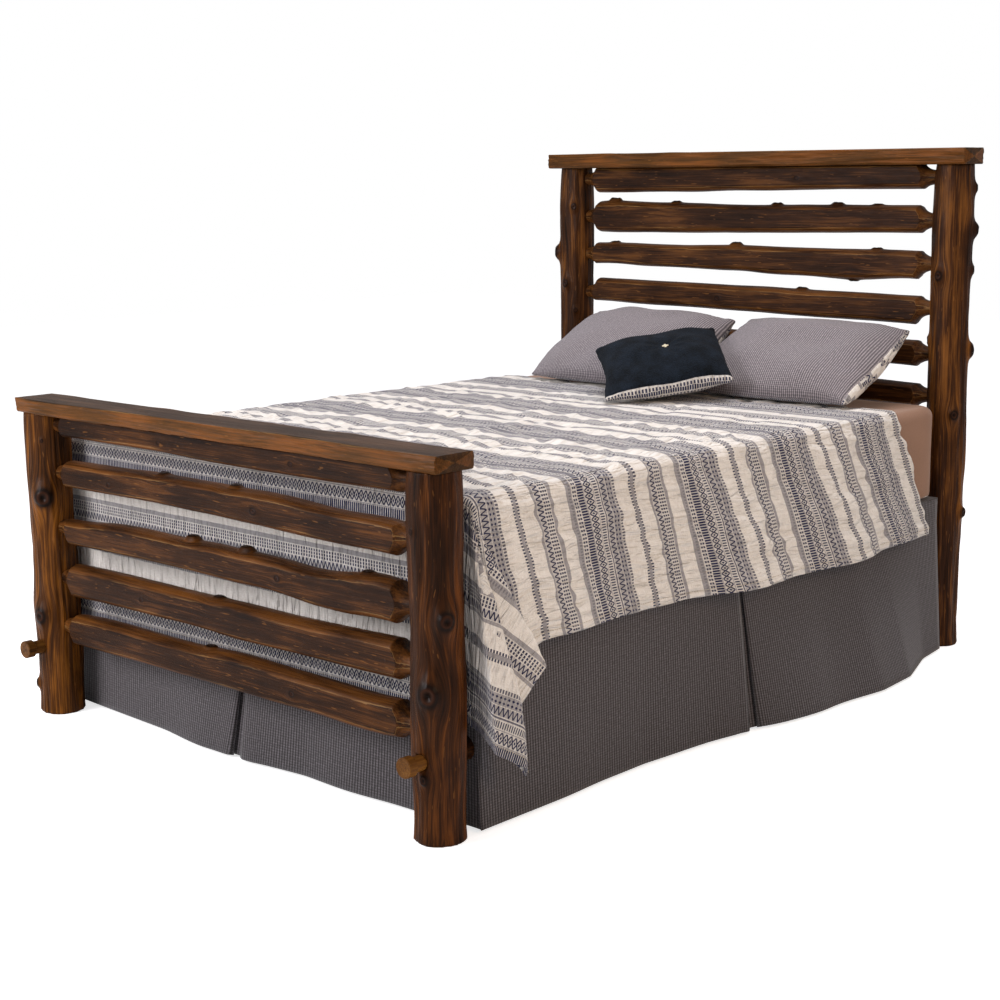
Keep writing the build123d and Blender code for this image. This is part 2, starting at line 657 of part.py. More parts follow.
# the toss pillow lies cornerwise, its near corner on the comforter and its far half on the shams
toss_near = Vector(toss_near_x, middle_y + toss_near_from_middle, comforter_top + toss_near_lift)
toss_right = Vector(toss_right_edge).normalized()
toss_back = Vector(toss_back_edge).normalized()
toss_up = toss_right.cross(toss_back).normalized()
toss_centre = toss_near + (toss_right + toss_back) * (toss_size / 2)
toss_plane = Plane(origin=toss_centre, x_dir=toss_right, z_dir=toss_up)
with BuildPart() as toss_pillow:
    cushion(toss_plane, toss_size, toss_size, toss_thickness)
save(toss_pillow, "toss_pillow")

with BuildPart() as toss_pillow_button:
    with BuildSketch(toss_plane.offset(toss_thickness / 2)):
        Circle(button_radius)
    extrude(amount=button_thickness)
    chamfer(toss_pillow_button.faces().sort_by(SortBy.AREA)[-1].edges(), button_edge)
save(toss_pillow_button, "toss_pillow_button")
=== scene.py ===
import math

import bmesh
import bpy
import numpy as np
from mathutils import Matrix, Vector
from mathutils.bvhtree import BVHTree


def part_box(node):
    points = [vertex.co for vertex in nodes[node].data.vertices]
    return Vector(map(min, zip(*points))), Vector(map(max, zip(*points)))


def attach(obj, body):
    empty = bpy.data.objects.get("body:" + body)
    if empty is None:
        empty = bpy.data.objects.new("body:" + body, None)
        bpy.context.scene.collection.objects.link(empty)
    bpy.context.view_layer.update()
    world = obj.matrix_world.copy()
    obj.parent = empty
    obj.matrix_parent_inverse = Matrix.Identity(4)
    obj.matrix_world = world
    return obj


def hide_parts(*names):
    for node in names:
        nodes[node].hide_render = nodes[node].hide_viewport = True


# A rustic queen bed of slabbed and peeled logs, dressed with its bedding. Metres, +X to the right as
# seen from the foot, +Y from foot to head, +Z up.

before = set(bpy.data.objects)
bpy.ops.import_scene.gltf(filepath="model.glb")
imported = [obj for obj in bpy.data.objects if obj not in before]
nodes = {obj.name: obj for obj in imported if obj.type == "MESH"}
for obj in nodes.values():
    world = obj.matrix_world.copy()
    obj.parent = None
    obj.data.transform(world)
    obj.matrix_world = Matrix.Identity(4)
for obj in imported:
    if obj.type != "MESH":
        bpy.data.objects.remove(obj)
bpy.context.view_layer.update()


# --- numbers and noise -----------------------------------------------------------------------------
def linear(hex_colour):
    """An sRGB hex colour as the linear red, green, blue and alpha that a shader takes."""
    parts = [int(hex_colour[i:i + 2], 16) / 255 for i in (1, 3, 5)]
    return [p / 12.92 if p <= 0.04045 else ((p + 0.055) / 1.055) ** 2.4 for p in parts] + [1]


def smooth(share):
    """Eases a share from 0 to 1 in and out."""
    share = np.clip(share, 0, 1)
    return share * share * (3 - 2 * share)


def bell(distance, width):
    """1 at no distance, fading to nothing past the width."""
    return np.exp(-(distance / width) ** 2)


def noise(points, seed):
    """Smooth pseudo-random values from -1 to 1 at points given in cells, the same on every run."""
    points = np.asarray(points, float)
    cell = np.floor(points).astype(np.int64)
    weight = smooth(points - cell)
    total = np.zeros(points.shape[:-1])
    for corner in np.ndindex(2, 2, 2):
        x, y, z = np.moveaxis(cell + np.array(corner), -1, 0)
        mixed = x * 73856093 ^ y * 19349663 ^ z * 83492791 ^ (seed * 7919 + 17)
        mixed = (mixed & 0xFFFFFFFF) * 1274126177 & 0xFFFFFFFF
        mixed = (mixed ^ (mixed >> 15)) * 2246822519 & 0xFFFFFFFF
        value = ((mixed >> 8) & 0xFFFF) / 32767.5 - 1
        share = np.where(np.array(corner) == 1, weight, 1 - weight)
        total += value * share.prod(-1)
    return total


def noise_over(x, y, z, seed):
    """The same noise over three arrays of coordinates in cells."""
    return noise(np.stack(np.broadcast_arrays(x, y, z), -1), seed)


# --- meshes ----------------------------------------------------------------------------------------
weld = 1e-5  # points closer together than this are one


def turned_out(mesh, doubles=False):
    """Turns a mesh's faces outwards, once its double points are merged where asked."""
    shape = bmesh.new()
    shape.from_mesh(mesh)
    if doubles:
        bmesh.ops.remove_doubles(shape, verts=shape.verts, dist=weld)
    bmesh.ops.recalc_face_normals(shape, faces=shape.faces)
    shape.to_mesh(mesh)
    shape.free()


def new_piece(name, vertices, faces, material):
    """A smooth-shaded mesh object at the origin, with its faces turned outwards."""
    mesh = bpy.data.meshes.new(name)
    mesh.from_pydata([tuple(v) for v in vertices], [], [tuple(int(i) for i in f) for f in faces])
    turned_out(mesh)
    mesh.shade_smooth()
    mesh.materials.append(material)
    piece = bpy.data.objects.new(name, mesh)
    bpy.context.scene.collection.objects.link(piece)
    return piece


def plain_mesh(piece):
    """Turns a piece and its modifiers into a plain mesh."""
    graph = bpy.context.evaluated_depsgraph_get()
    made = bpy.data.meshes.new_from_object(piece.evaluated_get(graph), preserve_all_data_layers=True,
                                           depsgraph=graph)
    piece.modifiers.clear()
    piece.data = made


def with_body(piece, thickness):
    """Gives a sheet its thickness, on the side away from its normals."""
    solid = piece.modifiers.new("body", "SOLIDIFY")
    solid.thickness, solid.offset = thickness, -1
    plain_mesh(piece)


def points_of(piece):
    """A piece's vertices as an array."""
    flat = np.zeros(len(piece.data.vertices) * 3)
    piece.data.vertices.foreach_get("co", flat)
    return flat.reshape(-1, 3)


def move_points(piece, points):
    """Puts a piece's vertices at these points."""
    piece.data.vertices.foreach_set("co", points.ravel())
    piece.data.update()


def point_attribute(piece, name, values, kind="FLOAT"):
    """Stores one number or one vector for each of a piece's vertices."""
    attribute = piece.data.attributes.new(name, kind, "POINT")
    socket = "value" if kind == "FLOAT" else "vector"
    attribute.data.foreach_set(socket, np.asarray(values, np.float32).ravel())


def cut_uvs(piece, places):
    """Keeps each vertex's place in the flat cut, in metres, as the piece's UV map."""
    layer = piece.data.uv_layers.new(name="cut")
    corners = np.zeros(len(piece.data.loops), int)
    piece.data.loops.foreach_get("vertex_index", corners)
    layer.data.foreach_set("uv", np.asarray(places, np.float32)[corners].ravel())


def grid_faces(rows, columns):
    """Quads of a grid of points, row by row."""
    at = (np.arange(rows - 1)[:, None] * columns + np.arange(columns - 1)).reshape(-1)
    return np.stack([at, at + 1, at + columns + 1, at + columns], 1)


def tube(rings, shut_first=True, shut_last=True):
    """Points and faces of a tube through rings of points, with its ends fanned shut where asked."""
    rows, count = rings.shape[:2]
    here, after = np.arange(count), (np.arange(count) + 1) % count
    starts = np.arange(rows - 1)[:, None] * count
    quads = np.stack([starts + here, starts + after, starts + count + after, starts + count + here], -1)
    points, faces = list(rings.reshape(-1, 3)), list(quads.reshape(-1, 4))
    if shut_first:
        faces += [[len(points), i, j] for i, j in zip(here, after)]
        points.append(rings[0].mean(0))
    if shut_last:
        last = (rows - 1) * count
        faces += [[len(points), last + j, last + i] for i, j in zip(here, after)]
        points.append(rings[-1].mean(0))
    return np.array(points), faces


def spread_evenly(line, count):
    """This many points spread evenly along a line of points, without its last point."""
    steps = np.concatenate([[0], np.cumsum(np.linalg.norm(np.diff(line, axis=0), axis=1))])
    at = np.linspace(0, steps[-1], count + 1)[:-1]
    return np.stack([np.interp(at, steps, line[:, i]) for i in (0, 1)], 1)


# --- materials -------------------------------------------------------------------------------------
def add(tree, kind, links=None, **settings):
    """Adds a node with its settings and its inputs' values or links. A node that is given for an
    input stands for its first output, and a kind without a family is a shader node."""
    made = tree.nodes.new(kind if "Node" in kind else "ShaderNode" + kind)
    for name, value in settings.items():
        setattr(made, name, value)
    for name, value in (links or {}).items():
        if isinstance(value, bpy.types.Node):
            value = value.outputs[0]
        if isinstance(value, bpy.types.NodeSocket):
            tree.links.new(value, made.inputs[name])
        else:
            made.inputs[name].default_value = value
    return made


def new_material(name):
    """An empty node material and its tree."""
    material = bpy.data.materials.new(name)
    material.use_nodes = True
    material.node_tree.nodes.clear()
    return material, material.node_tree


def surfaced(material, links):
    """A material with its surface, from these values and links."""
    tree = material.node_tree
    shader = add(tree, "BsdfPrincipled", links)
    add(tree, "OutputMaterial", {"Surface": shader})
    return material


def shades(ramp, stops):
    """A colour ramp with its stops, given as (position, hex colour)."""
    elements = ramp.color_ramp.elements
    while len(elements) < len(stops):
        elements.new(0.5)
    for element, (position, colour) in zip(elements, stops):
        element.position = position
        element.color = linear(colour)
    return ramp


def drawn_out(tree, place, cells, **sockets):
    """Noise with this many cells to a metre along each of a place's three ways."""
    mapped = add(tree, "Mapping", {"Vector": place, "Scale": cells})
    return add(tree, "TexNoise", {"Vector": mapped, "Scale": 1, **sockets})


def object_place(tree):
    """Where a point is on the object, in metres."""
    return add(tree, "TexCoord").outputs["Object"]


def stained_log(name, deep, mid, warm, outer, wane, along=None):
    """Peeled cedar under walnut stain and satin lacquer: soft grain took the stain dark and hard grain
    stays warm, knots go nearly black, and the bark side shows a paler line where a saw met it: partly
    bare wood, partly a painted highlight that stands in for the glint on the sawn edge. A log's skin
    brings its own grain attribute; a plain piece has its grain along x, y or z instead."""
    material, tree = new_material(name)
    if along is None:
        grain = add(tree, "Attribute", attribute_name="grain").outputs["Vector"]
    else:
        split = add(tree, "SeparateXYZ", {0: object_place(tree)})
        order = {"x": (0, 1, 2), "y": (1, 0, 2), "z": (2, 0, 1)}[along]
        grain = add(tree, "CombineXYZ", {i: split.outputs[axis] for i, axis in enumerate(order)})
    edge = add(tree, "Attribute", attribute_name="from_saw").outputs["Fac"]
    knot = add(tree, "Attribute", attribute_name="knot").outputs["Fac"]
    # broad streaks 15 mm wide and 300 mm long, growth lines 3 mm wide, fibres under 1 mm
    broad = drawn_out(tree, grain, (3.5, 62, 62), Detail=3, Roughness=0.6, Distortion=0.6)
    line = drawn_out(tree, grain, (6, 300, 300), Detail=2)
    fibre = drawn_out(tree, grain, (40, 1400, 1400), Detail=1)
    patch = drawn_out(tree, grain, (5, 13, 13), Detail=2)
    streaks = add(tree, "Mix", {"Factor": 0.4, "A": broad, "B": line})
    fine = add(tree, "Mix", {"Factor": 0.1, "A": streaks, "B": fibre})
    cloudy = add(tree, "Mix", {"Factor": 0.3, "A": fine, "B": patch})
    wavy = add(tree, "Math", {0: broad, 1: 0.014, 2: edge}, operation="MULTIPLY_ADD")
    bark = add(tree, "MapRange", {"Value": wavy, "From Min": 0.006, "From Max": 0.0085})
    lighter = add(tree, "Math", {0: bark, 1: wane, 2: cloudy}, operation="MULTIPLY_ADD")
    tone = shades(add(tree, "ValToRGB", {"Fac": lighter}),
                  [(0.37, deep), (0.5, mid), (0.62, warm), (0.76, outer)])
    # the pale line along the saw's edge, broken up by the streaks: partly bare wood, partly a painted
    # highlight that stands in for the glint on the edge
    off_edge = add(tree, "Math", {0: wavy, 1: 0.0068, 2: 0.0011}, operation="COMPARE")
    broken = add(tree, "MapRange", {"Value": patch, "From Min": 0.42, "From Max": 0.6,
                                    "To Max": 0.32 if along is None else 0.0})
    bare_wood_and_glint_line = add(tree, "Math", {0: off_edge, 1: broken}, operation="MULTIPLY")
    with_glint_line = add(tree, "Mix", {"Factor": bare_wood_and_glint_line, "A": tone, "B": linear("#b98d55")}, data_type="RGBA")
    # nicks 2 mm wide and 20 mm long, where the peeling knife broke through the stain
    nick = drawn_out(tree, grain, (34, 260, 260), Detail=0)
    nicked = add(tree, "MapRange", {"Value": nick, "From Min": 0.77, "From Max": 0.82, "To Max": 0.4})
    scarred = add(tree, "Mix", {"Factor": nicked, "A": with_glint_line.outputs[2], "B": linear("#8a5a2b")},
                  data_type="RGBA")
    knot_tone = shades(add(tree, "ValToRGB", {"Fac": knot}),
                       [(0.0, mid), (0.25, deep), (0.5, "#180c06"), (0.7, "#341b0d"), (1.0, "#0d0603")])
    knotted = add(tree, "MapRange", {"Value": knot, "From Min": 0.08, "From Max": 0.4})
    colour = add(tree, "Mix", {"Factor": knotted, "A": scarred.outputs[2], "B": knot_tone},
                 data_type="RGBA")
    rough = add(tree, "MapRange", {"Value": cloudy, "From Min": 0.3, "From Max": 0.7,
                                   "To Min": 0.46, "To Max": 0.27})
    relief = add(tree, "Mix", {"Factor": 0.4, "A": line, "B": fibre})
    bump = add(tree, "Bump", {"Height": relief, "Strength": 0.8, "Distance": 0.0014})
    return surfaced(material, {"Base Color": colour.outputs[2], "Roughness": rough, "IOR": 1.48,
                               "Specular IOR Level": 0.1, "Normal": bump})


foot_rail_wood = stained_log("walnut_stained_cedar_dark", "#180b04", "#301a09", "#5b3616", "#7a4a1e",
                             0.08)
head_rail_wood = stained_log("walnut_stained_cedar_mid", "#1a0d05", "#341d0c", "#613c1b", "#714720",
                             0.06)
honey_post_wood = stained_log("walnut_stained_cedar_honey", "#130802", "#4a290c", "#8f571c", "#9c6222",
                              0.0)
red_post_wood = stained_log("walnut_stained_cedar_red", "#170a03", "#371d0a", "#673a15", "#7a451a",
                            0.0)
grey_post_wood = stained_log("walnut_stained_cedar_grey", "#120803", "#3c210d", "#7a4c1f", "#8a5928",
                             0.0)
cap_wood = stained_log("walnut_stained_cedar_cap", "#27180a", "#3c260f", "#543516", "#7c4a20", 0.15)
knob_wood = stained_log("walnut_stained_birch_knob", "#3d240e", "#633f19", "#825826", "#825826",
                        0.0, "y")
side_rail_wood = stained_log("walnut_stained_cedar_side", "#180b04", "#2f1807", "#553012", "#553012",
                             0.0, "y")


# --- logs: posts and rails -------------------------------------------------------------------------
AXES = {"x": Vector((1, 0, 0)), "y": Vector((0, 1, 0)), "z": Vector((0, 0, 1))}
CROSSWAYS = {"x": "yz", "y": "xz", "z": "xy"}
ray_count = 360
ring_spacing = 0.004
end_ring_spacing = 0.002
turned_length = 0.12  # how much of a rail's end has the closer rings
sawn_tolerance = 0.0004
edge_ease = 0.0012  # how far a sawn edge is worn back
saw_reach = 0.03  # past this the saw's edge no longer shows


class Log:
    """A CAD log read back as rings of points round its axis, for the skin that replaces it. A sawn
    log says which of its two ways across the sawn faces cut, and how far out they are."""

    def __init__(self, node, along, sawn=None, knots=()):
        self.node, self.along, self.sawn, self.knots = node, AXES[along], sawn, knots
        self.first, self.second = (AXES[way] for way in CROSSWAYS[along])
        shape = bmesh.new()
        shape.from_mesh(nodes[node].data)
        bmesh.ops.remove_doubles(shape, verts=shape.verts, dist=weld)
        self.tree = BVHTree.FromBMesh(shape)
        points = np.array([v.co for v in shape.verts])
        shape.free()
        lengthways = points @ np.array(self.along)
        self.low, self.high = lengthways.min(), lengthways.max()
        tips = points[(lengthways > self.high - 1e-4) | (lengthways < self.low + 1e-4)]
        ways = [np.array(way) for way in (self.first, self.second)]
        self.middle = [float((tips @ way).min() + (tips @ way).max()) / 2 for way in ways]
        self.reach = max(np.abs(points @ way - centre).max()
                         for way, centre in zip(ways, self.middle)) * 1.5

    def stations(self):
        """Where the rings stand along the log, closer together at the turned ends of a rail."""
        if self.sawn is None:
            return np.linspace(self.low, self.high, int((self.high - self.low) / ring_spacing))
        ends = np.arange(0, turned_length, end_ring_spacing)
        near, far = self.low + ends, self.high - ends[::-1]
        return np.concatenate([near, np.arange(near[-1] + ring_spacing, far[0], ring_spacing), far])

    def outline(self, place):
        """The points of one cross-section, as (first, second) from the axis, with holes bridged."""
        inside = min(max(place, self.low + 2e-4), self.high - 2e-4)
        centre = self.along * inside + self.first * self.middle[0] + self.second * self.middle[1]
        angles = np.arange(ray_count) * 2 * math.pi / ray_count
        radii = np.zeros(ray_count)
        for i, angle in enumerate(angles):
            way = self.first * math.cos(angle) + self.second * math.sin(angle)
            hit = self.tree.ray_cast(centre + way * self.reach, -way, self.reach * 0.9)
            radii[i] = self.reach - hit[3] if hit[0] is not None else 0
        good = radii > (0.8 * np.median(radii[radii > 0]) if self.sawn is None else 0)
        radii = np.interp(angles, angles[good], radii[good], period=2 * math.pi)
        return np.stack([radii * np.cos(angles), radii * np.sin(angles)], 1)


def resampled(loop, corners, count):
    """Points evenly spaced along each stretch of a closed loop between its corners."""
    ends = corners[1:] + [corners[0] + len(loop)]
    return np.concatenate([spread_evenly(loop[np.arange(start, end + 1) % len(loop)], count)
                           for start, end in zip(corners, ends)])


def sawn_corners(loop, sawn):
    """Where the two sawn faces of a cross-section begin and end, or None on its turned ends."""
    side, depth = sawn
    corners = []
    for sign in (1, -1):
        on_face = np.flatnonzero(sign * loop[:, side] > depth - sawn_tolerance)
        if len(on_face) < 8:
            return None
        middle = ray_count * (side if sign > 0 else side + 2) // 4
        steps = (on_face - middle + ray_count // 2) % ray_count - ray_count // 2
        corners += [middle + steps.min(), middle + steps.max()]
    return corners


def sawn_rings(log, loops, around):
    """A slabbed log's rings, how natural each point's face is, and how far it is from the saw's edge,
    which is less than nothing on a sawn face."""
    found = [sawn_corners(loop, log.sawn) for loop in loops]
    known = [i for i, corners in enumerate(found) if corners is not None]
    found = [found[min(known, key=lambda k: abs(k - i))] for i in range(len(found))]
    quarter = around // 4
    rings = np.array([resampled(loop, corners, quarter) for loop, corners in zip(loops, found)])
    from_corner = np.abs((np.arange(around) + quarter // 2) % quarter - quarter // 2)
    step = np.linalg.norm(rings - np.roll(rings, 1, 1), axis=-1)
    on_face = (np.arange(around) % (2 * quarter)) < quarter
    from_saw = np.where(on_face, -1, 1) * np.minimum(from_corner * step, saw_reach)
    for corner in range(0, around, quarter):
        rings[:, corner] *= 1 - edge_ease / np.linalg.norm(rings[:, corner], axis=1)[:, None]
    return rings, (~on_face).astype(float) * np.ones(rings.shape[:2]), from_saw


def log_skin(log, material, around, relief, seed):
    """The natural surface of a log: the CAD form with peeled flutes, knots and eased sawn edges."""
    places = log.stations()
    loops = [log.outline(place) for place in places]
    if log.sawn is None:
        rings = np.array([resampled(loop, [0], around) for loop in loops])
        wane, from_saw = np.ones(rings.shape[:2]), np.full(rings.shape[:2], saw_reach)
        swelling = 0.65
    else:
        rings, wane, from_saw = sawn_rings(log, loops, around)
        swelling = 0.15
    # peeled surface: long flutes and hollows, deep on natural wood and faint on sawn faces
    along = np.broadcast_to(places[:, None], rings.shape[:2])
    spot = np.stack([along, rings[:, :, 0], rings[:, :, 1]], -1) + seed * 3.7
    ridges = 1 - 2 * np.abs(noise(spot * [4, 70, 70], seed))
    flutes = 0.6 * ridges + 0.4 * noise(spot * [14, 190, 190], seed + 1)
    hollows = noise(spot * [7, 24, 24], seed + 2)
    raised = relief * (0.12 + 0.88 * wane) * (0.7 * flutes + 0.6 * hollows)
    angle = np.arctan2(rings[:, :, 1], rings[:, :, 0])
    radius = np.linalg.norm(rings, axis=-1)
    bent, knot = angle.copy(), np.zeros(angle.shape)
    for place, bearing, size in log.knots:
        swing = (angle - math.radians(bearing) + math.pi) % (2 * math.pi) - math.pi
        up, aside = along - place, swing * radius
        bent -= swing * 0.85 * np.exp(-(up / (2.2 * size)) ** 2 - (aside / (1.5 * size)) ** 2)
        ring = np.sqrt((up / size) ** 2 + (aside / (0.75 * size)) ** 2)
        knot = np.maximum(knot, bell(ring, 0.75))
        raised += size * (swelling * bell(ring, 1.15) - (0.2 + 0.5 * swelling) * bell(ring, 0.38))
        raised += 0.0016 * bell(ring, 1) * noise(spot * [90, 160, 160], seed + 3)
    rings = rings + rings / radius[:, :, None] * raised[:, :, None]
    points = (along[:, :, None] * np.array(log.along)
              + (rings[:, :, :1] + log.middle[0]) * np.array(log.first)
              + (rings[:, :, 1:] + log.middle[1]) * np.array(log.second))
    vertices, faces = tube(points)
    piece = new_piece(log.node + "_wood", vertices, faces, material)
    grain = np.stack([along, radius * np.cos(bent), radius * np.sin(bent)], -1).reshape(-1, 3)
    grain = np.concatenate([grain, [[places[0], 0, 0], [places[-1], 0, 0]]]) + seed * 1.7
    point_attribute(piece, "grain", grain, "FLOAT_VECTOR")
    point_attribute(piece, "from_saw", np.append(from_saw.ravel(), [0, 0]))
    point_attribute(piece, "knot", np.append(knot.ravel(), [0, 0]))
    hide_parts(log.node)
    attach(piece, "bed")


# knots as (place along the log, bearing round it in degrees, size)
post_knots = {
    "footboard_post_left": [(0.606, -51, 0.033), (0.279, -77, 0.027), (0.08, -122, 0.014),
                            (0.758, -50, 0.006)],
    "footboard_post_right": [(0.51, -29, 0.027), (0.347, -63, 0.035), (0.153, -78, 0.016),
                             (0.7, -100, 0.008)],
    "headboard_post_left": [(1.063, -91, 0.017), (1.17, -140, 0.026), (1.33, -60, 0.014),
                            (0.969, -55, 0.01)],
    "headboard_post_right": [(1.135, -98, 0.018), (1.392, 28, 0.016), (1.269, 28, 0.022),
                             (1.15, 28, 0.016), (0.911, 28, 0.022), (0.418, 7, 0.018),
                             (0.94, -151, 0.014), (0.72, -40, 0.018)],
}
post_woods = (honey_post_wood, red_post_wood, grey_post_wood, grey_post_wood)
for number, (name, knots) in enumerate(post_knots.items()):
    log_skin(Log(name, "z", None, knots), post_woods[number], 108, 0.0044, number + 1)

half_rail = (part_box("footboard_rail_2")[1].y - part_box("footboard_rail_2")[0].y) / 2
rail_knots = {
    "footboard_rail_1": [(-0.2, 180, 0.008), (0.3, 180, 0.01)],
    "footboard_rail_2": [(-0.222, 90, 0.02), (0.06, 90, 0.02), (0.16, 178, 0.014),
                         (-0.42, 182, 0.01)],
    "footboard_rail_3": [(-0.115, 90, 0.02), (0.095, 90, 0.02), (0.52, 90, 0.02), (0.24, 180, 0.012)],
    "footboard_rail_4": [(-0.02, 90, 0.02), (-0.3, 180, 0.01)],
    "footboard_rail_5": [(-0.06, 90, 0.02), (0.28, 178, 0.012)],
    "headboard_rail_1": [(0.2, 180, 0.01)],
    "headboard_rail_2": [(-0.557, 90, 0.02), (-0.295, 90, 0.02), (0.11, 90, 0.02), (0.335, 90, 0.02),
                         (0.479, 90, 0.02)],
    "headboard_rail_3": [(-0.557, 90, 0.02), (-0.048, 90, 0.02), (0.479, 90, 0.02), (0.4, -90, 0.02)],
    "headboard_rail_4": [(0.21, 90, 0.02), (-0.1, 180, 0.012)],
    "headboard_rail_5": [(-0.18, 90, 0.02)],
    "headboard_rail_6": [(0.24, 90, 0.02)],
}
for number, (name, knots) in enumerate(rail_knots.items()):
    wood = foot_rail_wood if name.startswith("foot") else head_rail_wood
    log_skin(Log(name, "x", (0, half_rail), knots), wood, 72, 0.0016, number + 11)
for number, name in enumerate(("footboard_cap", "headboard_cap")):
    low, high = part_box(name)
    log_skin(Log(name, "x", (1, (high.z - low.z) / 2)), cap_wood, 96, 0.0055, number + 41)

for names, wood in ((("side_rail_left", "side_rail_right"), side_rail_wood),
                    (("bolt_knob_left", "bolt_knob_right"), knob_wood)):
    for name in names:
        nodes[name].material_slots[0].material = wood


# --- stitching -------------------------------------------------------------------------------------
def stitch_tree():
    """A node tree that lays stitches along the edges it is given: pitch, length and thickness."""
    tree = bpy.data.node_groups.new("stitches", "GeometryNodeTree")
    tree.interface.new_socket("Path", in_out="INPUT", socket_type="NodeSocketGeometry")
    for label, size in (("Pitch", 0.008), ("Length", 0.005), ("Thickness", 0.0012)):
        socket = tree.interface.new_socket(label, in_out="INPUT", socket_type="NodeSocketFloat")
        socket.default_value = size
    tree.interface.new_socket("Thread", in_out="INPUT", socket_type="NodeSocketMaterial")
    tree.interface.new_socket("Stitches", in_out="OUTPUT", socket_type="NodeSocketGeometry")
    given = tree.nodes.new("NodeGroupInput").outputs
    line = add(tree, "GeometryNodeMeshToCurve", {"Mesh": given["Path"]})
    spaced = add(tree, "GeometryNodeResampleCurve", {"Curve": line, "Length": given["Pitch"]},
                 mode="LENGTH")
    turned = add(tree, "FunctionNodeAlignRotationToVector",
                 {"Vector": add(tree, "GeometryNodeInputTangent")}, axis="X")
    size = add(tree, "CombineXYZ", {0: given["Length"], 1: given["Thickness"], 2: given["Thickness"]})
    stitch = add(tree, "GeometryNodeMeshCube", {"Size": size})
    laid = add(tree, "GeometryNodeInstanceOnPoints", {"Points": spaced, "Instance": stitch,
                                                      "Rotation": turned})
    real = add(tree, "GeometryNodeRealizeInstances", {0: laid})
    sewn = add(tree, "GeometryNodeSetMaterial", {"Geometry": real, "Material": given["Thread"]})
    add(tree, "NodeGroupOutput", {0: sewn})
    return tree


def cotton_thread(name, colour):
    """Mercerised cotton sewing thread: a tight twist with a slight lustre."""
    material, tree = new_material(name)
    twist = add(tree, "TexNoise", {"Vector": object_place(tree), "Scale": 900})
    shade = add(tree, "Mix", {"Factor": twist, "A": linear(colour), "B": linear("#8f8578")},
                data_type="RGBA")
    return surfaced(material, {"Base Color": shade.outputs[2], "Roughness": 0.6})


def sew(name, paths, thread, body, pitch=0.008):
    """Stitches along paths of points, as one plain mesh on one body."""
    points, edges = [], []
    for path in paths:
        first = len(points)
        points += [tuple(p) for p in path]
        edges += [(first + i, first + i + 1) for i in range(len(path) - 1)]
    mesh = bpy.data.meshes.new(name)
    mesh.from_pydata(points, edges, [])
    piece = bpy.data.objects.new(name, mesh)
    bpy.context.scene.collection.objects.link(piece)
    sewing = piece.modifiers.new("stitches", "NODES")
    sewing.node_group = stitch_tree()
    sizes = {socket.name: socket.identifier for socket in sewing.node_group.interface.items_tree}
    sewing[sizes["Pitch"]], sewing[sizes["Length"]] = pitch, pitch * 0.6
    sewing[sizes["Thread"]] = thread
    plain_mesh(piece)
    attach(piece, body)
    return piece


# --- comforter -------------------------------------------------------------------------------------
# Its flat cut is followed over the bed: across is the distance from the middle line, and from_head
# the distance from the head hem. Past the mattress's edges it rolls over and hangs as drops, and at
# each foot corner the spare cloth falls in folds that fan out from the corner.
comforter_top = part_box("comforter")[1].z
edge_roll = 0.036  # radius over the mattress's edges
half_roll = edge_roll * math.pi / 4
side_face, foot_face = 0.7785, -1.0085  # the drops' faces under those edges
head_hem_y = 0.77
taken_up = 0.945  # length on the bed to flat length, because puckers take the rest
flat_edge_across = side_face - edge_roll + half_roll
flat_edge_from_head = half_roll + (head_hem_y - foot_face - edge_roll) / taken_up
side_drop, foot_drop = 0.371, 0.5
straight_from = 0.34  # past this hung length a drop leans out less and less

# the side drop's hem, by its distance from the head hem: where it is along the bed, and how high
hem_along = ([0, 1.65, flat_edge_from_head], [0.933, -0.74, -0.9375])
hem_height = ([0, 0.22, 0.73, 1.17, 1.49, 1.74, flat_edge_from_head],
              [0.384, 0.388, 0.385, 0.405, 0.414, 0.418, 0.39])

# the corner fan: (direction in the flat cut, slope towards the head, slope outwards)
fan = np.array([(0, 0.176, 0.12), (5.1, 0.085, 0.115), (21.9, 0.405, 0.16), (24.7, 0.39, 0.215),
                (45.4, -0.006, 0.155), (46.4, -0.013, 0.169), (53.5, 0.145, 0.2226),
                (55.5, 0.121, 0.256), (66, -0.0645, 0.21), (90, 0, 0)])


def over_edge(past):
    """Out, down and hung length for a flat distance past a rounded edge."""
    bend = np.clip((past + half_roll) / edge_roll, 0, math.pi / 2)
    hung = np.maximum(past - half_roll, 0)
    out = np.where(past < -half_roll, past + half_roll, edge_roll * np.sin(bend))
    return out, edge_roll * (1 - np.cos(bend)) + hung, hung


def flare_reach(hung):
    """A drop leans out as it falls, and hangs straighter low down."""
    lower = np.maximum(hung, straight_from) - straight_from
    return np.where(hung < straight_from, hung, straight_from + 0.12 * (1 - np.exp(-lower / 0.12)))


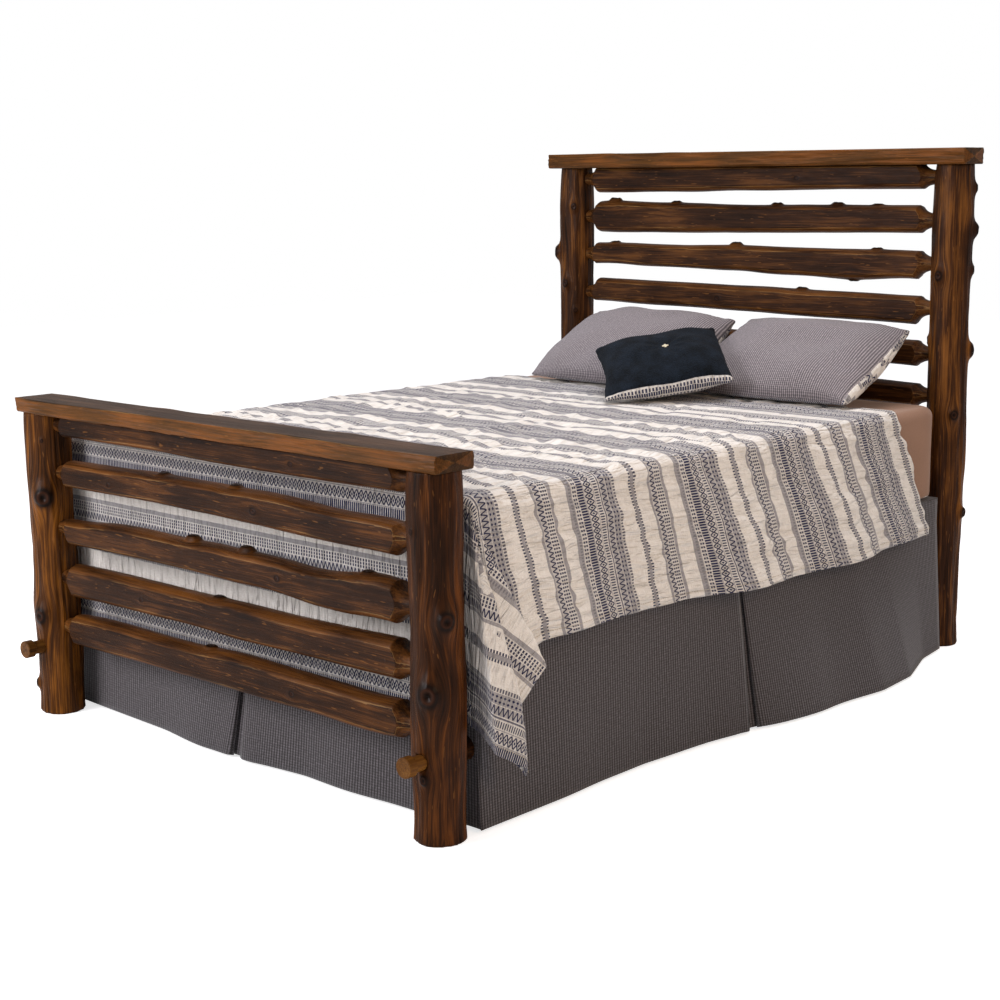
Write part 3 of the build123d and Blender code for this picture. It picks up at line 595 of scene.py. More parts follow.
def draped(across, from_head):
    """Where a point of the flat comforter lies on the bed."""
    side, foot = np.abs(across) - flat_edge_across, from_head - flat_edge_from_head
    side_out, side_down, side_hung = over_edge(side)
    foot_out, foot_down, _ = over_edge(foot)
    foot_out = np.where(foot < -half_roll, foot_out * taken_up, foot_out)
    x = side_face - edge_roll + side_out
    y = foot_face + edge_roll - foot_out
    hem_z = np.interp(from_head, *hem_height)
    fall = (comforter_top - edge_roll - hem_z) / (side_drop - half_roll)
    on_bed = foot_face + edge_roll + taken_up * np.maximum(-half_roll - foot, 0)
    lean = (np.interp(from_head, *hem_along) - on_bed) / flare_reach(np.array(side_drop - half_roll))
    sway = 0.1 * noise_over(from_head * 4.2, 0, 0, 5)
    on_side = (foot <= 0) & (side > 0)
    outward = fan[0, 2] + (0.03 + sway) * smooth(-foot / 0.3)
    x = np.where(on_side, x + outward * flare_reach(side_hung), x)
    y = np.where(on_side, y + lean * flare_reach(side_hung), y)
    z = comforter_top - np.where(foot <= 0, side_down + side_hung * (fall - 1), side_down) - foot_down
    # corner fan
    reach, angle = np.hypot(side, foot), np.degrees(np.arctan2(foot, side))
    out, down, hung = over_edge(reach)
    start_out, start_down, _ = over_edge(np.array(0.0))
    to_head, outwards = [sum(np.interp(angle + near, fan[:, 0], fan[:, i]) for near in (-1, 0, 1)) / 3
                         for i in (1, 2)]
    steep = np.sqrt(1 + to_head ** 2 + outwards ** 2)
    corner = (foot > 0) & (side > 0)
    bearing = np.radians(angle)
    x = np.where(corner, side_face - edge_roll + start_out + (out - start_out) * np.cos(bearing)
                 + outwards * flare_reach(hung), x)
    y = np.where(corner, foot_face + edge_roll - start_out - (out - start_out) * np.sin(bearing)
                 + to_head * flare_reach(hung), y)
    z = np.where(corner, comforter_top - start_down - (down - hung) - hung / steep, z)
    return np.stack([np.where(across < 0, -x, x), y, z], -1)


# Woven bands, in mm from the head side of the wide one: the repeat is 430 mm, with a wide band, a
# medium one and a narrow one on cream. Each row is (from, to, ink), and a row of motifs goes on with
# (pitch, by row, by mirrored row, middle, reach): yarn shows where p + by row * r + by mirrored
# row * m is within reach of middle. p and m run from 0 to 1 and back in each pitch and row, and r
# runs from 0 to 1.
band_repeat = 430
first_band = 80
woven_rows = [
    (0, 186, 0.16), (236, 304, 0.14),
    (0, 9, 0.9, 8, 0, 0, 0.25, 0.27), (11, 35, 0.55), (13, 23, 1, 12, 0, 1, 1.7, 0.45),
    (24, 34, 1, 12, 0, 1, 1.7, 0.45), (37, 57, 0.46), (37, 57, 1, 14, -1, 0, 0, 0.26),
    (60, 64, 0.85), (68, 83, 1, 7, 0, 0, 0.2, 0.26), (86, 88, 0.6),
    (90, 116, 1, 15, 0, 1, 0.95, 0.27), (90, 116, 1, 15, 0, 1, 2, 0.4), (118, 120, 0.6),
    (121, 143, 1, 7, 0, 0, 0.3, 0.4), (147, 153, 1, 10, 0, 0, 0.25, 0.27),
    (155, 161, 1, 10, 0, 0, 0.25, 0.27), (165, 186, 0.58), (168, 176, 0.75, 8, 0, 0, 0.25, 0.3),
    (236, 247, 0.58), (250, 256, 1, 9, 0, 0, 0.25, 0.27), (258, 264, 1, 9, 0, 0, 0.25, 0.27),
    (266, 272, 1, 9, 0, 0, 0.25, 0.27), (275, 294, 0.32), (275, 294, 1, 13, -1, 0, 0, 0.27),
    (296, 304, 0.58),
    (354, 361, 0.95, 8, 0, 0, 0.25, 0.3), (361, 372, 0.6), (372, 379, 0.95, 8, 0, 0, 0.25, 0.3),
]


def comforter_weave():
    """Cream cotton with charcoal-blue yarn woven in bands: flat and matt, with crisp small motifs."""
    material, tree = new_material("banded_cotton_weave")
    cut = add(tree, "UVMap", uv_map="cut")
    across, along = add(tree, "SeparateXYZ", {0: cut}).outputs[:2]
    shifted = add(tree, "Math", {0: along, 1: 1000, 2: -first_band}, operation="MULTIPLY_ADD")
    repeat = add(tree, "Math", {0: shifted, 1: band_repeat}, operation="FLOORED_MODULO")
    waves = {}
    for pitch in sorted({row[3] for row in woven_rows if len(row) > 3}):
        turns = add(tree, "Math", {0: across, 1: 1000 / pitch}, operation="MULTIPLY")
        waves[pitch] = add(tree, "Math", {0: turns, 1: 0.5}, operation="PINGPONG")
    ink = None
    for start, end, share, *motif in woven_rows:
        row = add(tree, "MapRange", {"Value": repeat, "From Min": start, "From Max": end}, clamp=False)
        mark = inside = add(tree, "Math", {0: row, 1: 0.5, 2: 0.5}, operation="COMPARE")
        if motif:
            pitch, by_row, by_mirror, middle, reach = motif
            mirror = add(tree, "Math", {0: row, 1: 0.5}, operation="PINGPONG")
            ramp = add(tree, "Math", {0: row, 1: by_row, 2: -middle}, operation="MULTIPLY_ADD")
            peak = add(tree, "Math", {0: mirror, 1: 2 * by_mirror, 2: ramp}, operation="MULTIPLY_ADD")
            height = add(tree, "Math", {0: waves[pitch], 1: 2, 2: peak}, operation="MULTIPLY_ADD")
            off = add(tree, "Math", {0: height}, operation="ABSOLUTE")
            sharp = add(tree, "MapRange", {"Value": off, "From Min": reach + 0.08,
                                           "From Max": reach - 0.08})
            mark = add(tree, "Math", {0: sharp, 1: inside}, operation="MULTIPLY")
        dark = add(tree, "Math", {0: mark, 1: share}, operation="MULTIPLY")
        ink = add(tree, "Math", {0: dark, 1: ink}, operation="MAXIMUM") if ink else dark
    # slubs in the cream yarn, and creases 15 to 30 mm apart that run along the bed
    slub = drawn_out(tree, cut, (60, 900, 1), Detail=2)
    ground = shades(add(tree, "ValToRGB", {"Fac": slub}), [(0.35, "#ddd6cc"), (0.65, "#efebe4")])
    yarn = shades(add(tree, "ValToRGB", {"Fac": slub}), [(0.35, "#111338"), (0.65, "#23254f")])
    colour = add(tree, "Mix", {"Factor": ink, "A": ground, "B": yarn}, data_type="RGBA")
    crease = drawn_out(tree, cut, (75, 14, 1), Detail=2, Distortion=0.6)
    relief = add(tree, "Math", {0: ink, 1: 0.15, 2: crease}, operation="MULTIPLY_ADD")
    bump = add(tree, "Bump", {"Height": relief, "Strength": 1.0, "Distance": 0.02})
    return surfaced(material, {"Base Color": colour.outputs[2], "Roughness": 0.9, "Sheen Weight": 0.1,
                               "Normal": bump})


banded_cotton = comforter_weave()
pillow_rest = min(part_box(name)[0].z for name in ("sham_left", "sham_right", "toss_pillow"))


def make_comforter():
    """The comforter: its drape, puckered between the bands, with a stitched hem."""
    half_across = flat_edge_across + side_drop
    whole_length = flat_edge_from_head + foot_drop
    rows = np.concatenate([np.linspace(0, flat_edge_from_head - 0.04, 130),
                           np.linspace(flat_edge_from_head - 0.03, whole_length, 54)])
    across, from_head = np.meshgrid(np.linspace(-half_across, half_across, 255), rows)
    points = draped(across, from_head)
    drift = 0.008 * noise_over(across * 2.2, from_head * 1.6, 0, 8)
    drift *= 1 - smooth((from_head - 1.7) / 0.2)
    pattern_along = from_head + drift
    at = (pattern_along * 1000 - first_band) % band_repeat
    banded = (at < 186) | ((at > 236) & (at < 304)) | ((at > 356) & (at < 377))
    ridges = noise_over(across * 42 + from_head * 3, from_head * 15, 0, 3)
    swells = noise_over(across * 9, from_head * 7, 0, 4)
    puffs = noise_over(across * 17, from_head * 22, 0, 6)
    raised = ridges * np.where(banded, 0.0022, 0.0075) + 0.0045 * swells + 0.003 * puffs
    raised *= 1 - 0.6 * smooth((from_head - flat_edge_from_head + 0.02) / 0.08)
    normal = np.cross(np.gradient(points, axis=1), np.gradient(points, axis=0))
    normal /= np.maximum(np.linalg.norm(normal, axis=-1, keepdims=True), 1e-9)
    on_top = normal[100, 127]
    points = points + normal * (-1 if on_top[2] < 0 else 1) * raised[..., None]
    # pressed flat under the pillows and where they are drawn out
    pressed = (points[..., 1] > 0.3) & (points[..., 2] > pillow_rest - 0.0015)
    points[..., 2] = np.where(pressed, pillow_rest - 0.0015, points[..., 2])
    comforter = new_piece("comforter_cloth", points.reshape(-1, 3), grid_faces(*across.shape),
                          banded_cotton)
    cut_uvs(comforter, np.stack([across, pattern_along], -1).reshape(-1, 2))
    if comforter.data.polygons[len(comforter.data.polygons) // 3].normal.z < 0:
        comforter.data.flip_normals()
    with_body(comforter, 0.006)
    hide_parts("comforter")
    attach(comforter, "bed")
    hem_in = 2  # how many points in from the edge the hem is sewn
    hem = sew("comforter_hem_stitches",
              [points[:, hem_in], points[:, -1 - hem_in], points[hem_in], points[-1 - hem_in]],
              cotton_thread("cream_cotton_thread", "#d8cdb8"), "bed")


make_comforter()


# --- bed skirt -------------------------------------------------------------------------------------
def tweed(name, ground, fleck, pitch):
    """Grey yarn-dyed cloth: columns of light flecks, pitch mm apart, on a darker ground, quite matt."""
    material, tree = new_material(name)
    cut = add(tree, "UVMap", uv_map="cut")
    place = add(tree, "Mapping", {"Vector": cut, "Scale": (1000 / pitch, 1400 / pitch, 1)})
    split = add(tree, "SeparateXYZ", {0: place})
    column = add(tree, "Math", {0: split.outputs[0], 1: 0.5}, operation="PINGPONG")
    dash = add(tree, "Math", {0: split.outputs[1], 1: 0.5}, operation="PINGPONG")
    both = add(tree, "Math", {0: dash, 1: 0.5, 2: column}, operation="MULTIPLY_ADD")
    speck = add(tree, "MapRange", {"Value": both, "From Min": 0.42, "From Max": 0.28})
    mottle = add(tree, "TexNoise", {"Vector": place, "Scale": 0.9, "Detail": 2})
    share = add(tree, "Math", {0: speck, 1: mottle}, operation="MULTIPLY")
    colour = add(tree, "Mix", {"Factor": share, "A": linear(ground), "B": linear(fleck)},
                 data_type="RGBA")
    bump = add(tree, "Bump", {"Height": share, "Strength": 0.6, "Distance": 0.0012})
    return surfaced(material, {"Base Color": colour.outputs[2], "Roughness": 0.92,
                               "Sheen Weight": 0.2, "Normal": bump})


skirt_hem, skirt_top = (corner.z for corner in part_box("bed_skirt"))
mattress_low, mattress_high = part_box("mattress")
bed_x, foot_end, head_end = mattress_high.x, mattress_low.y, mattress_high.y
# how far out the hem of a drop is, as (along, out): each drop has one pleat
side_hems = [(-0.999, 0.014), (-0.67, 0.014), (-0.4, 0.015), (-0.03, 0.05), (0.04, 0.068),
             (0.27, 0.108), (0.54, 0.128), (0.71, 0.112), (0.9, 0.046), (1.035, 0.026)]
foot_hems = [(-0.78, 0.006), (-0.6, 0.016), (-0.345, 0.028), (-0.07, 0.048), (0.03, 0.046),
             (0.21, 0.026), (0.6, 0.018), (0.78, 0.006)]


def hanging_drop(hems, pleat, straight, seed):
    """A skirt drop as a grid: along, out, z and place in the flat cut. It has an inverted pleat, and
    hangs straight over this share of its height before it flares."""
    step, tuck = 0.018, 0.055
    left = np.arange(hems[0][0], pleat - 0.006, step)
    right = np.arange(hems[-1][0], pleat + 0.006, -step)[::-1]
    # the cloth turns behind itself at the pleat: out to its mouth, back by a tuck, across, out again
    mouth = np.array([-0.004, -0.012, -tuck, -tuck, 0, tuck, tuck, 0.012, 0.004])
    folded = [0.001, 0.009, 0.009, 0.017, 0.017, 0.017, 0.009, 0.009, 0.001]
    along = np.concatenate([left, pleat + mouth, right])
    behind = np.concatenate([left * 0, folded, right * 0])
    flat = np.concatenate([[0], np.cumsum(np.hypot(np.diff(along), np.diff(behind)))])
    fall, run = np.meshgrid(np.linspace(0, 1, 26), along, indexing="ij")
    near = bell(along - pleat, 0.07)
    flared = np.maximum(fall - straight, 0) / (1 - straight)
    waves = 0.009 * noise_over(along * 5.5, 0, 0, seed) * (1 - near)
    out = flared * (np.interp(along, *zip(*hems)) + waves) - behind * np.minimum(1, 0.3 + fall)
    spread = 0.024 * np.sign(along - pleat) * near * (behind < 0.005) * fall ** 2
    z = skirt_top - 0.003 - fall * (skirt_top - skirt_hem - 0.003)
    cut = np.stack([np.broadcast_to(flat, run.shape), fall * (skirt_top - skirt_hem)], -1)
    return run + spread, out, z, cut


def make_skirt():
    """The skirt: two side drops, a foot drop and the deck that lies under the mattress."""
    grids, cuts, area = [], [], 2 * bed_x * (head_end - foot_end)
    for side, hems, pleat, straight in ((1, side_hems, 0.01, 0.16), (-1, side_hems, 0.01, 0.16),
                                        (0, foot_hems, -0.03, 0.47)):
        run, out, z, cut = hanging_drop(hems, pleat, straight, 40 + side)
        grids.append(np.stack([side * (bed_x + 0.003 + out), run, z] if side
                              else [run, foot_end - 0.003 - out, z], -1))
        cuts.append(cut + side)
        area += cut[-1, -1, 0] * (skirt_top - skirt_hem)
    x, y = np.meshgrid(np.linspace(-bed_x, bed_x, 7), np.linspace(foot_end, head_end, 9))
    grids.append(np.stack([x, y, np.full(x.shape, skirt_top - 0.0015)], -1))
    cuts.append(grids[-1][..., :2])
    starts = np.cumsum([0] + [grid.shape[0] * grid.shape[1] for grid in grids])
    faces = [grid_faces(*grid.shape[:2]) + start for grid, start in zip(grids, starts)]
    skirt = new_piece("bed_skirt_cloth", np.concatenate([grid.reshape(-1, 3) for grid in grids]),
                      np.concatenate(faces), tweed("grey_mauve_tweed", "#2a2626", "#7d777b", 9))
    cut_uvs(skirt, np.concatenate([cut.reshape(-1, 2) for cut in cuts]))
    with_body(skirt, 0.0015)
    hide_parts("bed_skirt")
    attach(skirt, "bed")


make_skirt()


# --- fitted sheet, mattress and box spring ---------------------------------------------------------
bed_y = (foot_end + head_end) / 2
half_length = (head_end - foot_end) / 2


def rounded_plan(grow, radius, count):
    """Points round the bed's plan, with rounded corners, evenly spaced."""
    half_x, half_y = bed_x + grow, half_length + grow
    corners = []
    for quarter, (sx, sy) in enumerate(((1, 1), (-1, 1), (-1, -1), (1, -1))):
        angles = np.radians(np.linspace(quarter * 90, quarter * 90 + 90, 12))
        corners.append(np.stack([sx * (half_x - radius) + radius * np.cos(angles),
                                 sy * (half_y - radius) + radius * np.sin(angles)], 1))
    return spread_evenly(np.concatenate(corners + [corners[0][:1]]), count)


def covered_block(name, profile, radius, material, ripple=None, closed=True):
    """A cover round the bed's plan from a profile of (grow, z) that starts low, and is closed on top."""
    count = 300
    rings = np.array([np.column_stack([rounded_plan(grow, max(radius + grow, 0.004), count),
                                       np.full(count, z)]) for grow, z in profile])
    if ripple is not None:
        rings = ripple(rings)
    rings[:, :, 1] += bed_y
    vertices, faces = tube(rings, shut_first=closed)
    return new_piece(name, vertices, faces, material)


def plain_cloth(name, colour, other, thread_mm):
    """Plain-woven cotton or polyester: an even, matt cloth whose threads only just show close by."""
    material, tree = new_material(name)
    place = object_place(tree)
    weave = drawn_out(tree, place, (1000 / thread_mm,) * 3, Detail=1)
    soil = add(tree, "TexNoise", {"Vector": place, "Scale": 7, "Detail": 2})
    both = add(tree, "Mix", {"Factor": 0.35, "A": weave, "B": soil})
    tone = shades(add(tree, "ValToRGB", {"Fac": both}), [(0.35, colour), (0.65, other)])
    bump = add(tree, "Bump", {"Height": weave, "Strength": 0.4, "Distance": 0.0008})
    return surfaced(material, {"Base Color": tone, "Roughness": 0.85, "Sheen Weight": 0.2,
                               "Normal": bump})


def over_top(grow, top, radius, steps):
    """A profile's rounded upper edge, from upright to level."""
    return [(grow - radius * (1 - math.cos(bend)), top - radius * (1 - math.sin(bend)))
            for bend in np.linspace(0, math.pi / 2, steps)]


sheet_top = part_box("fitted_sheet")[1].z
sheet_roll = 0.03
sheet_profile = [(-0.045, skirt_top + 0.0035), (-0.02, skirt_top + 0.003),
                 (-0.006, skirt_top + 0.006), (0.001, skirt_top + 0.014)]
sheet_profile += [(0.002, z) for z in np.linspace(skirt_top + 0.024, sheet_top - sheet_roll, 14)]
sheet_profile += over_top(0.002, sheet_top, sheet_roll, 9)[1:]
sheet_profile += [(-sheet_roll - step, sheet_top) for step in (0.03, 0.08, 0.16, 0.3, 0.5)]


def elastic_gather(rings):
    """Upright creases at the mattress's corners, where the elastic hem gathers the sheet."""
    x, y, z = np.moveaxis(rings, -1, 0)
    corner = bell(np.hypot(np.abs(x) - bed_x, np.abs(y) - half_length), 0.22)
    low = smooth((sheet_top - z) / 0.2)
    ripple = 0.0022 * corner * low * noise_over(x * 55, y * 55, z * 4, 61)
    sag = 0.0012 * low * noise_over(x * 7, y * 7, z * 12, 62)
    rings[..., 0] -= np.sign(x) * np.abs(ripple + sag)
    rings[..., 1] -= np.sign(y) * np.abs(ripple) * corner
    return rings


fitted = covered_block("fitted_sheet_cloth", sheet_profile, 0.07,
                       plain_cloth("tan_cotton_percale", "#86624a", "#967055", 1.2),
                       elastic_gather, closed=False)
with_body(fitted, 0.001)
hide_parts("fitted_sheet")
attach(fitted, "bed")

welt = 0.005  # radius of the corded edges


def corded(z):
    """A welt: the profile steps out round a cord and back."""
    return [(-welt * 0.3, z - welt * 1.5), (0, z - welt), (welt * 0.1, z), (0, z + welt),
            (-welt * 0.3, z + welt * 1.5)]


spring_low, spring_high = (corner.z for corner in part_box("box_spring"))
spring_profile = [(-0.3, spring_low), (-0.02, spring_low)] + corded(spring_low + 0.009)
spring_profile += [(-0.0035 - 0.002 * math.sin(math.pi * share),
                    spring_low + 0.02 + share * (spring_high - spring_low - 0.04))
                   for share in np.linspace(0, 1, 12)]
spring_profile += corded(spring_high - 0.009) + [(-0.02, spring_high), (-0.3, spring_high)]
spring = covered_block("box_spring_cover", spring_profile, 0.07,
                       plain_cloth("grey_polyester_cover", "#a9a8a6", "#bcbbb8", 1.6))
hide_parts("box_spring")
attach(spring, "bed")

pad_low, pad_high = mattress_low.z, mattress_high.z
pad_roll, pad_inset = 0.028, 0.003  # the pad stays inside the sheet
pad_profile = [(-0.3, pad_low + 0.004), (-pad_roll, pad_low + 0.001)]
pad_profile += [(grow - pad_inset, z) for grow, z in corded(pad_low + 0.016)]
pad_profile += [(-pad_inset - 0.004 * math.sin(3 * math.pi * share) ** 2,
                 pad_low + 0.03 + share * (pad_high - pad_low - 0.06))
                for share in np.linspace(0, 1, 24)]
pad_profile += over_top(-pad_inset, pad_high - 0.001, pad_roll, 8)
pad_profile += [(-0.2, pad_high - 0.001), (-0.4, pad_high - 0.001)]
mattress_pad = covered_block("mattress_quilted_cover", pad_profile, 0.066,
                             plain_cloth("white_mattress_ticking", "#c9c6bf", "#dcdad3", 2))
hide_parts("mattress")
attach(mattress_pad, "bed")


# --- pillows ---------------------------------------------------------------------------------------
def chenille(name):
    """Navy-black chenille: short dense pile that drinks the light, greyer where it turns away."""
    material, tree = new_material(name)
    place = object_place(tree)
    pile = add(tree, "TexNoise", {"Vector": place, "Scale": 260, "Detail": 2})
    wear = add(tree, "TexNoise", {"Vector": place, "Scale": 22, "Detail": 2})
    both = add(tree, "Mix", {"Factor": 0.5, "A": pile, "B": wear})
    tone = shades(add(tree, "ValToRGB", {"Fac": both}), [(0.35, "#06090c"), (0.65, "#18202a")])
    bump = add(tree, "Bump", {"Height": pile, "Strength": 1.0, "Distance": 0.003})
    return surfaced(material, {"Base Color": tone, "Roughness": 0.95, "Specular IOR Level": 0.1,
                               "Sheen Weight": 0.02, "Normal": bump})


cloth_reach = 0.013  # how far the filling may move a point of a pillow's cover
seam_spacing = 0.011  # between the points of a pillow's cover
filling_frames = 22


def fill(piece):
    """Blows a pillow's cover up until it settles, no further than the cloth reaches."""
    empty = points_of(piece)
    cloth = piece.modifiers.new("filling", "CLOTH").settings
    cloth.quality = 5
    cloth.use_pressure = True
    cloth.uniform_pressure_force = 5
    cloth.tension_stiffness = cloth.compression_stiffness = 20
    cloth.bending_stiffness = 0.4
    cloth.effector_weights.gravity = 0
    for frame_number in range(1, filling_frames + 1):
        bpy.context.scene.frame_set(frame_number)
    plain_mesh(piece)
    bpy.context.scene.frame_set(1)
    moved = points_of(piece) - empty
    far = np.maximum(np.linalg.norm(moved, axis=1, keepdims=True), 1e-9)
    move_points(piece, empty + moved * cloth_reach * np.tanh(far / cloth_reach) / far)


def stuffed(name, size, place, material, body, seed, wrap, fullness, waist, skew=0.0, tuft=0.0):
    """A pillow sewn from two flat pieces and blown up, then laid at its place: (middle, across, up).
    Its back is banded cotton, which wraps over the top past these shares of its right and front
    halves. A waist draws its sides in between the corners."""
    width, depth, thickness = size
    middle, across, up = (Vector(v) for v in place)
    across.normalize()
    up.normalize()
    columns, rows = int(width / seam_spacing), int(depth / seam_spacing)
    a, b = np.meshgrid(np.linspace(-1, 1, columns), np.linspace(-1, 1, rows))
    x, y = a * (1 - waist * (1 - b ** 2)) * width / 2, b * (1 - waist * (1 - a ** 2)) * depth / 2
    lumps = 1 + 0.1 * noise_over(x * 9, y * 9, 0, seed)
    swell = ((1 - a ** 2) * (1 - b ** 2)) ** fullness * lumps * thickness * 0.46
    sides = [np.stack([x, y, side * swell], -1).reshape(-1, 3) for side in (1, -1)]
    quads = grid_faces(rows, columns)
    piece = new_piece(name, np.concatenate(sides),
                      np.concatenate([quads, quads[:, ::-1] + rows * columns]), material)
    flat = np.stack([a * width / 2, b * depth / 2], -1).reshape(-1, 2)
    cut_uvs(piece, np.concatenate([flat, flat + 1.7]))
    piece.data.materials.append(banded_cotton)
    wrapped = (a.reshape(-1)[quads].mean(1) > wrap[0]) | (b.reshape(-1)[quads].mean(1) < wrap[1])
    piece.data.polygons.foreach_set("material_index",
                                    np.concatenate([wrapped, wrapped | True]).astype(np.int32))
    turned_out(piece.data, doubles=True)
    fill(piece)
    finer = piece.modifiers.new("finer", "SUBSURF")
    finer.levels = finer.render_levels = 1
    plain_mesh(piece)
    made = points_of(piece)
    for axis, length in enumerate(size):
        made[:, axis] *= length / (made[:, axis].max() - made[:, axis].min())
    made[:, 0] += skew * (0.5 - made[:, 1] / depth)
    x, y, z = made.T.copy()
    side, seam = np.sign(z), bell(z / thickness, 0.16)
    gathers = noise_over(x * 60, y * 60, z * 10, seed + 1)
    creases = noise_over(x * 10, y * 14, side, seed + 2)
    made[:, 2] += side * (0.0022 * gathers * seam + 0.005 * creases * (1 - seam))
    if tuft:
        away = np.hypot(x, y)
        spokes = 0.5 + 0.5 * np.cos(9 * np.arctan2(y, x) + 2 * creases)
        made[:, 2] -= side * (tuft * bell(away, 0.045) + 0.003 * spokes * bell(away - 0.05, 0.035))
    ways = np.array([across, up.cross(across), up])
    laid = np.array(middle) + made @ ways
    move_points(piece, rested(laid))
    piece.data.shade_smooth()
    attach(piece, body)
    return piece


def rested(points, give=0.012):
    """A pillow's points, with its underside softly flattened where it lies on the comforter."""
    over = points[:, 2] - pillow_rest
    low = give * np.log1p(np.exp(np.clip(over / give, -30, 30))) * 0.94 + 0.0005
    points[:, 2] = pillow_rest + np.where(over > give * 2, over, low)
    return points


def middle_of(node):
    """The middle of a node's box."""
    low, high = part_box(node)
    return (low + high) / 2


sham_cloth = tweed("grey_pin_stripe_cotton", "#504a4e", "#c3b9bb", 7)
sham_lean = math.radians(28)
sham_up = (0, -math.sin(sham_lean), math.cos(sham_lean))
for node, body, seed, right_wrap in (("sham_left", "left_sham", 71, 2),
                                     ("sham_right", "right_sham", 74, 0.955)):
    sham = stuffed(node + "_pillow", (0.6, 0.41, 0.175), (middle_of(node), (1, 0, 0), sham_up),
                   sham_cloth, body, seed, wrap=(right_wrap, -2), fullness=0.42,
                   waist=-0.035)
    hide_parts(node)

toss_right = Vector((258, 271, 60)).normalized()
toss_back = Vector((-242, 273, 118)).normalized()
toss_up = toss_right.cross(toss_back).normalized()
toss = stuffed("toss_pillow_cushion", (0.392, 0.392, 0.15),
               (middle_of("toss_pillow"), toss_right, toss_up), chenille("navy_black_chenille"),
               "toss", 77, wrap=(2, -0.95), fullness=0.42, waist=0.045, skew=-0.026,
               tuft=0.014)
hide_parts("toss_pillow")


def mother_of_pearl():
    """Mother of pearl, polished: pale and glossy, with drifting green and pink."""
    material, tree = new_material("mother_of_pearl")
    cloud = add(tree, "TexNoise", {"Vector": object_place(tree), "Scale": 180, "Distortion": 1.5})
    tone = shades(add(tree, "ValToRGB", {"Fac": cloud}),
                  [(0.3, "#c7b48c"), (0.5, "#e2d6b8"), (0.7, "#cdc9ae")])
    return surfaced(material, {"Base Color": tone, "Roughness": 0.25, "IOR": 1.53,
                               "Coat Weight": 0.4})


def shell_button():
    """A four-pointed button that sits in the toss pillow's tuft."""
    tufted = BVHTree.FromObject(toss, bpy.context.evaluated_depsgraph_get())
    above_tuft = middle_of("toss_pillow_button") + toss_up * 0.1
    seat = tufted.ray_cast(above_tuft, -toss_up)[0] + toss_up * 0.0012
    angles = np.arange(64) * 2 * math.pi / 64
    star = 0.0105 * (0.8 + 0.2 * np.cos(4 * angles))
    front = toss_up.cross(toss_right)
    # its section, as (share of the radius, height)
    section = [(0, -0.0016), (0.9, -0.0018), (1, -0.0008), (1, 0.0006), (0.93, 0.0016),
               (0.55, 0.0011), (0, 0.0008)]
    rings = [[seat + toss_right * float(share * r * math.cos(t)) + front * float(share * r * math.sin(t))
              + toss_up * height for r, t in zip(star, angles)] for share, height in section]
    vertices, faces = tube(np.array(rings), shut_first=False, shut_last=False)
    button = new_piece("toss_pillow_shell_button", vertices, faces, mother_of_pearl())
    turned_out(button.data, doubles=True)
    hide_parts("toss_pillow_button")
    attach(button, "toss")


shell_button()


# --- slats and fastenings --------------------------------------------------------------------------
def sawn_pine(name, cells):
    """Planed white pine, unfinished: pale yellow with soft growth lines 4 mm apart and no gloss."""
    material, tree = new_material(name)
    lines = drawn_out(tree, object_place(tree), cells, Detail=2)
    tone = shades(add(tree, "ValToRGB", {"Fac": lines}),
                  [(0.35, "#b98f5c"), (0.5, "#d8b57f"), (0.65, "#e6caa0")])
    bump = add(tree, "Bump", {"Height": lines, "Strength": 0.3, "Distance": 0.0008})
    return surfaced(material, {"Base Color": tone, "Roughness": 0.7, "Normal": bump})


def zinc_plate():
    """Bright zinc plate on steel: blue-white metal with faint cloudy patches and fine rolling marks."""
    material, tree = new_material("zinc_plated_steel")
    cloud = add(tree, "TexNoise", {"Vector": object_place(tree), "Scale": 120, "Detail": 2})
    tone = shades(add(tree, "ValToRGB", {"Fac": cloud}), [(0.3, "#9a9fa6"), (0.7, "#c3c8cd")])
    rough = add(tree, "MapRange", {"Value": cloud, "To Min": 0.28, "To Max": 0.45})
    return surfaced(material, {"Base Color": tone, "Metallic": 1.0, "Roughness": rough})


pine_across = sawn_pine("sawn_pine_slat", (6, 250, 250))
pine_upright = sawn_pine("sawn_pine_leg", (250, 250, 6))
for names, material in (([f"slat_{number}" for number in range(1, 6)], pine_across),
                        (["slat_leg_1", "slat_leg_2", "slat_leg_3", "cap_dowels"], pine_upright),
                        (["slat_screws", "bed_bolts", "bolt_washers", "barrel_nuts"], zinc_plate())):
    for name in names:
        nodes[name].material_slots[0].material = material


# --- floor, light and camera -----------------------------------------------------------------------
def seen_straight(tree):
    """1 where the camera looks straight at a thing or through glass, and 0 for all other light."""
    path = add(tree, "LightPath")
    return add(tree, "Math", {0: path.outputs["Is Camera Ray"], 1: path.outputs["Is Transmission Ray"]},
               operation="MAXIMUM")


def pale_floor():
    """A wide matt floor that looks white and keeps the shadow."""
    half = 12
    mesh = bpy.data.meshes.new("floor")
    mesh.from_pydata([(-half, -half, 0), (half, -half, 0), (half, half, 0), (-half, half, 0)], [],
                     [(0, 1, 2, 3)])
    floor = bpy.data.objects.new("floor", mesh)
    bpy.context.scene.collection.objects.link(floor)
    material, tree = new_material("floor")
    bare_wood_and_glint_line = add(tree, "BsdfDiffuse", {"Color": linear("#f0f0f0")})
    glowing = add(tree, "Math", {0: seen_straight(tree), 1: 0.7}, operation="MULTIPLY")
    glow = add(tree, "Emission", {"Color": (1, 1, 1, 1), "Strength": glowing})
    add(tree, "OutputMaterial", {"Surface": add(tree, "AddShader", {0: bare_wood_and_glint_line, 1: glow})})
    mesh.materials.append(material)


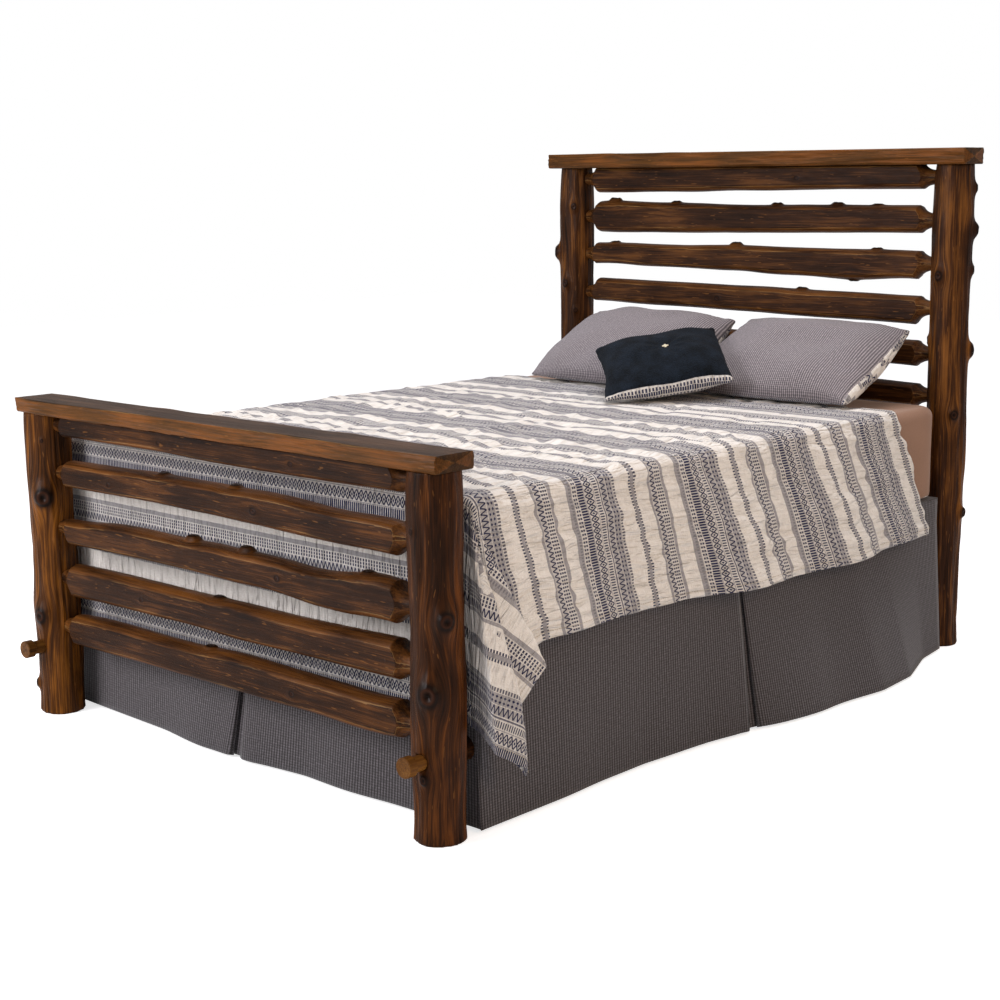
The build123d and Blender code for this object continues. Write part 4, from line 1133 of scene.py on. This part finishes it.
def white_studio():
    """A world that looks white and lights the bed softly from all round."""
    world = bpy.data.worlds.new("studio")
    bpy.context.scene.world = world
    world.use_nodes = True
    tree = world.node_tree
    tree.nodes.clear()
    backdrop = add(tree, "Background", {"Color": (1, 1, 1, 1), "Strength": 1.0})
    dome = add(tree, "Background", {"Color": linear("#f8f7fb"), "Strength": 0.42})
    either = add(tree, "MixShader", {0: seen_straight(tree), 1: dome, 2: backdrop})
    add(tree, "OutputWorld", {"Surface": either})


def soft_box(name, place, aim, size, watts, colour):
    """A square studio lamp that faces its aim."""
    light = bpy.data.lights.new(name, "AREA")
    light.size, light.energy, light.color = size, watts, linear(colour)[:3]
    lamp = bpy.data.objects.new(name, light)
    lamp.location = place
    lamp.rotation_euler = (Vector(aim) - Vector(place)).to_track_quat("-Z", "Y").to_euler()
    bpy.context.scene.collection.objects.link(lamp)


def camera_at(place, heading, pitch, tilt, lens):
    """A camera that looks this many degrees left of +Y and down, tilted about its line of sight."""
    lens_data = bpy.data.cameras.new("camera")
    lens_data.lens, lens_data.sensor_width = lens, 36
    camera = bpy.data.objects.new("camera", lens_data)
    bpy.context.scene.collection.objects.link(camera)
    heading, pitch, tilt = (math.radians(angle) for angle in (heading, pitch, tilt))
    forward = Vector((-math.sin(heading) * math.cos(pitch), math.cos(heading) * math.cos(pitch),
                      -math.sin(pitch)))
    level = Vector((math.cos(heading), math.sin(heading), 0))
    upright = level.cross(forward)
    right = level * math.cos(tilt) + upright * math.sin(tilt)
    up = upright * math.cos(tilt) - level * math.sin(tilt)
    turned = Matrix((right, up, -forward)).transposed().to_4x4()
    camera.matrix_world = Matrix.Translation(place) @ turned
    bpy.context.scene.camera = camera


pale_floor()
white_studio()
soft_box("key", (-1.4, -4.4, 2.3), (0, -0.3, 0.5), 2.0, 160, "#f9f6fa")
soft_box("side", (4.4, -0.8, 2.4), (0, -0.3, 0.5), 1.6, 44, "#ffd7ac")
soft_box("top", (0.2, 0.6, 4.2), (0, 0, 0.6), 2.4, 106, "#fcfaff")
camera_at((3.360, -3.703, 1.448), 42.85, 10.49, -0.52, 63.6)
bpy.context.scene.view_settings.view_transform = "Standard"
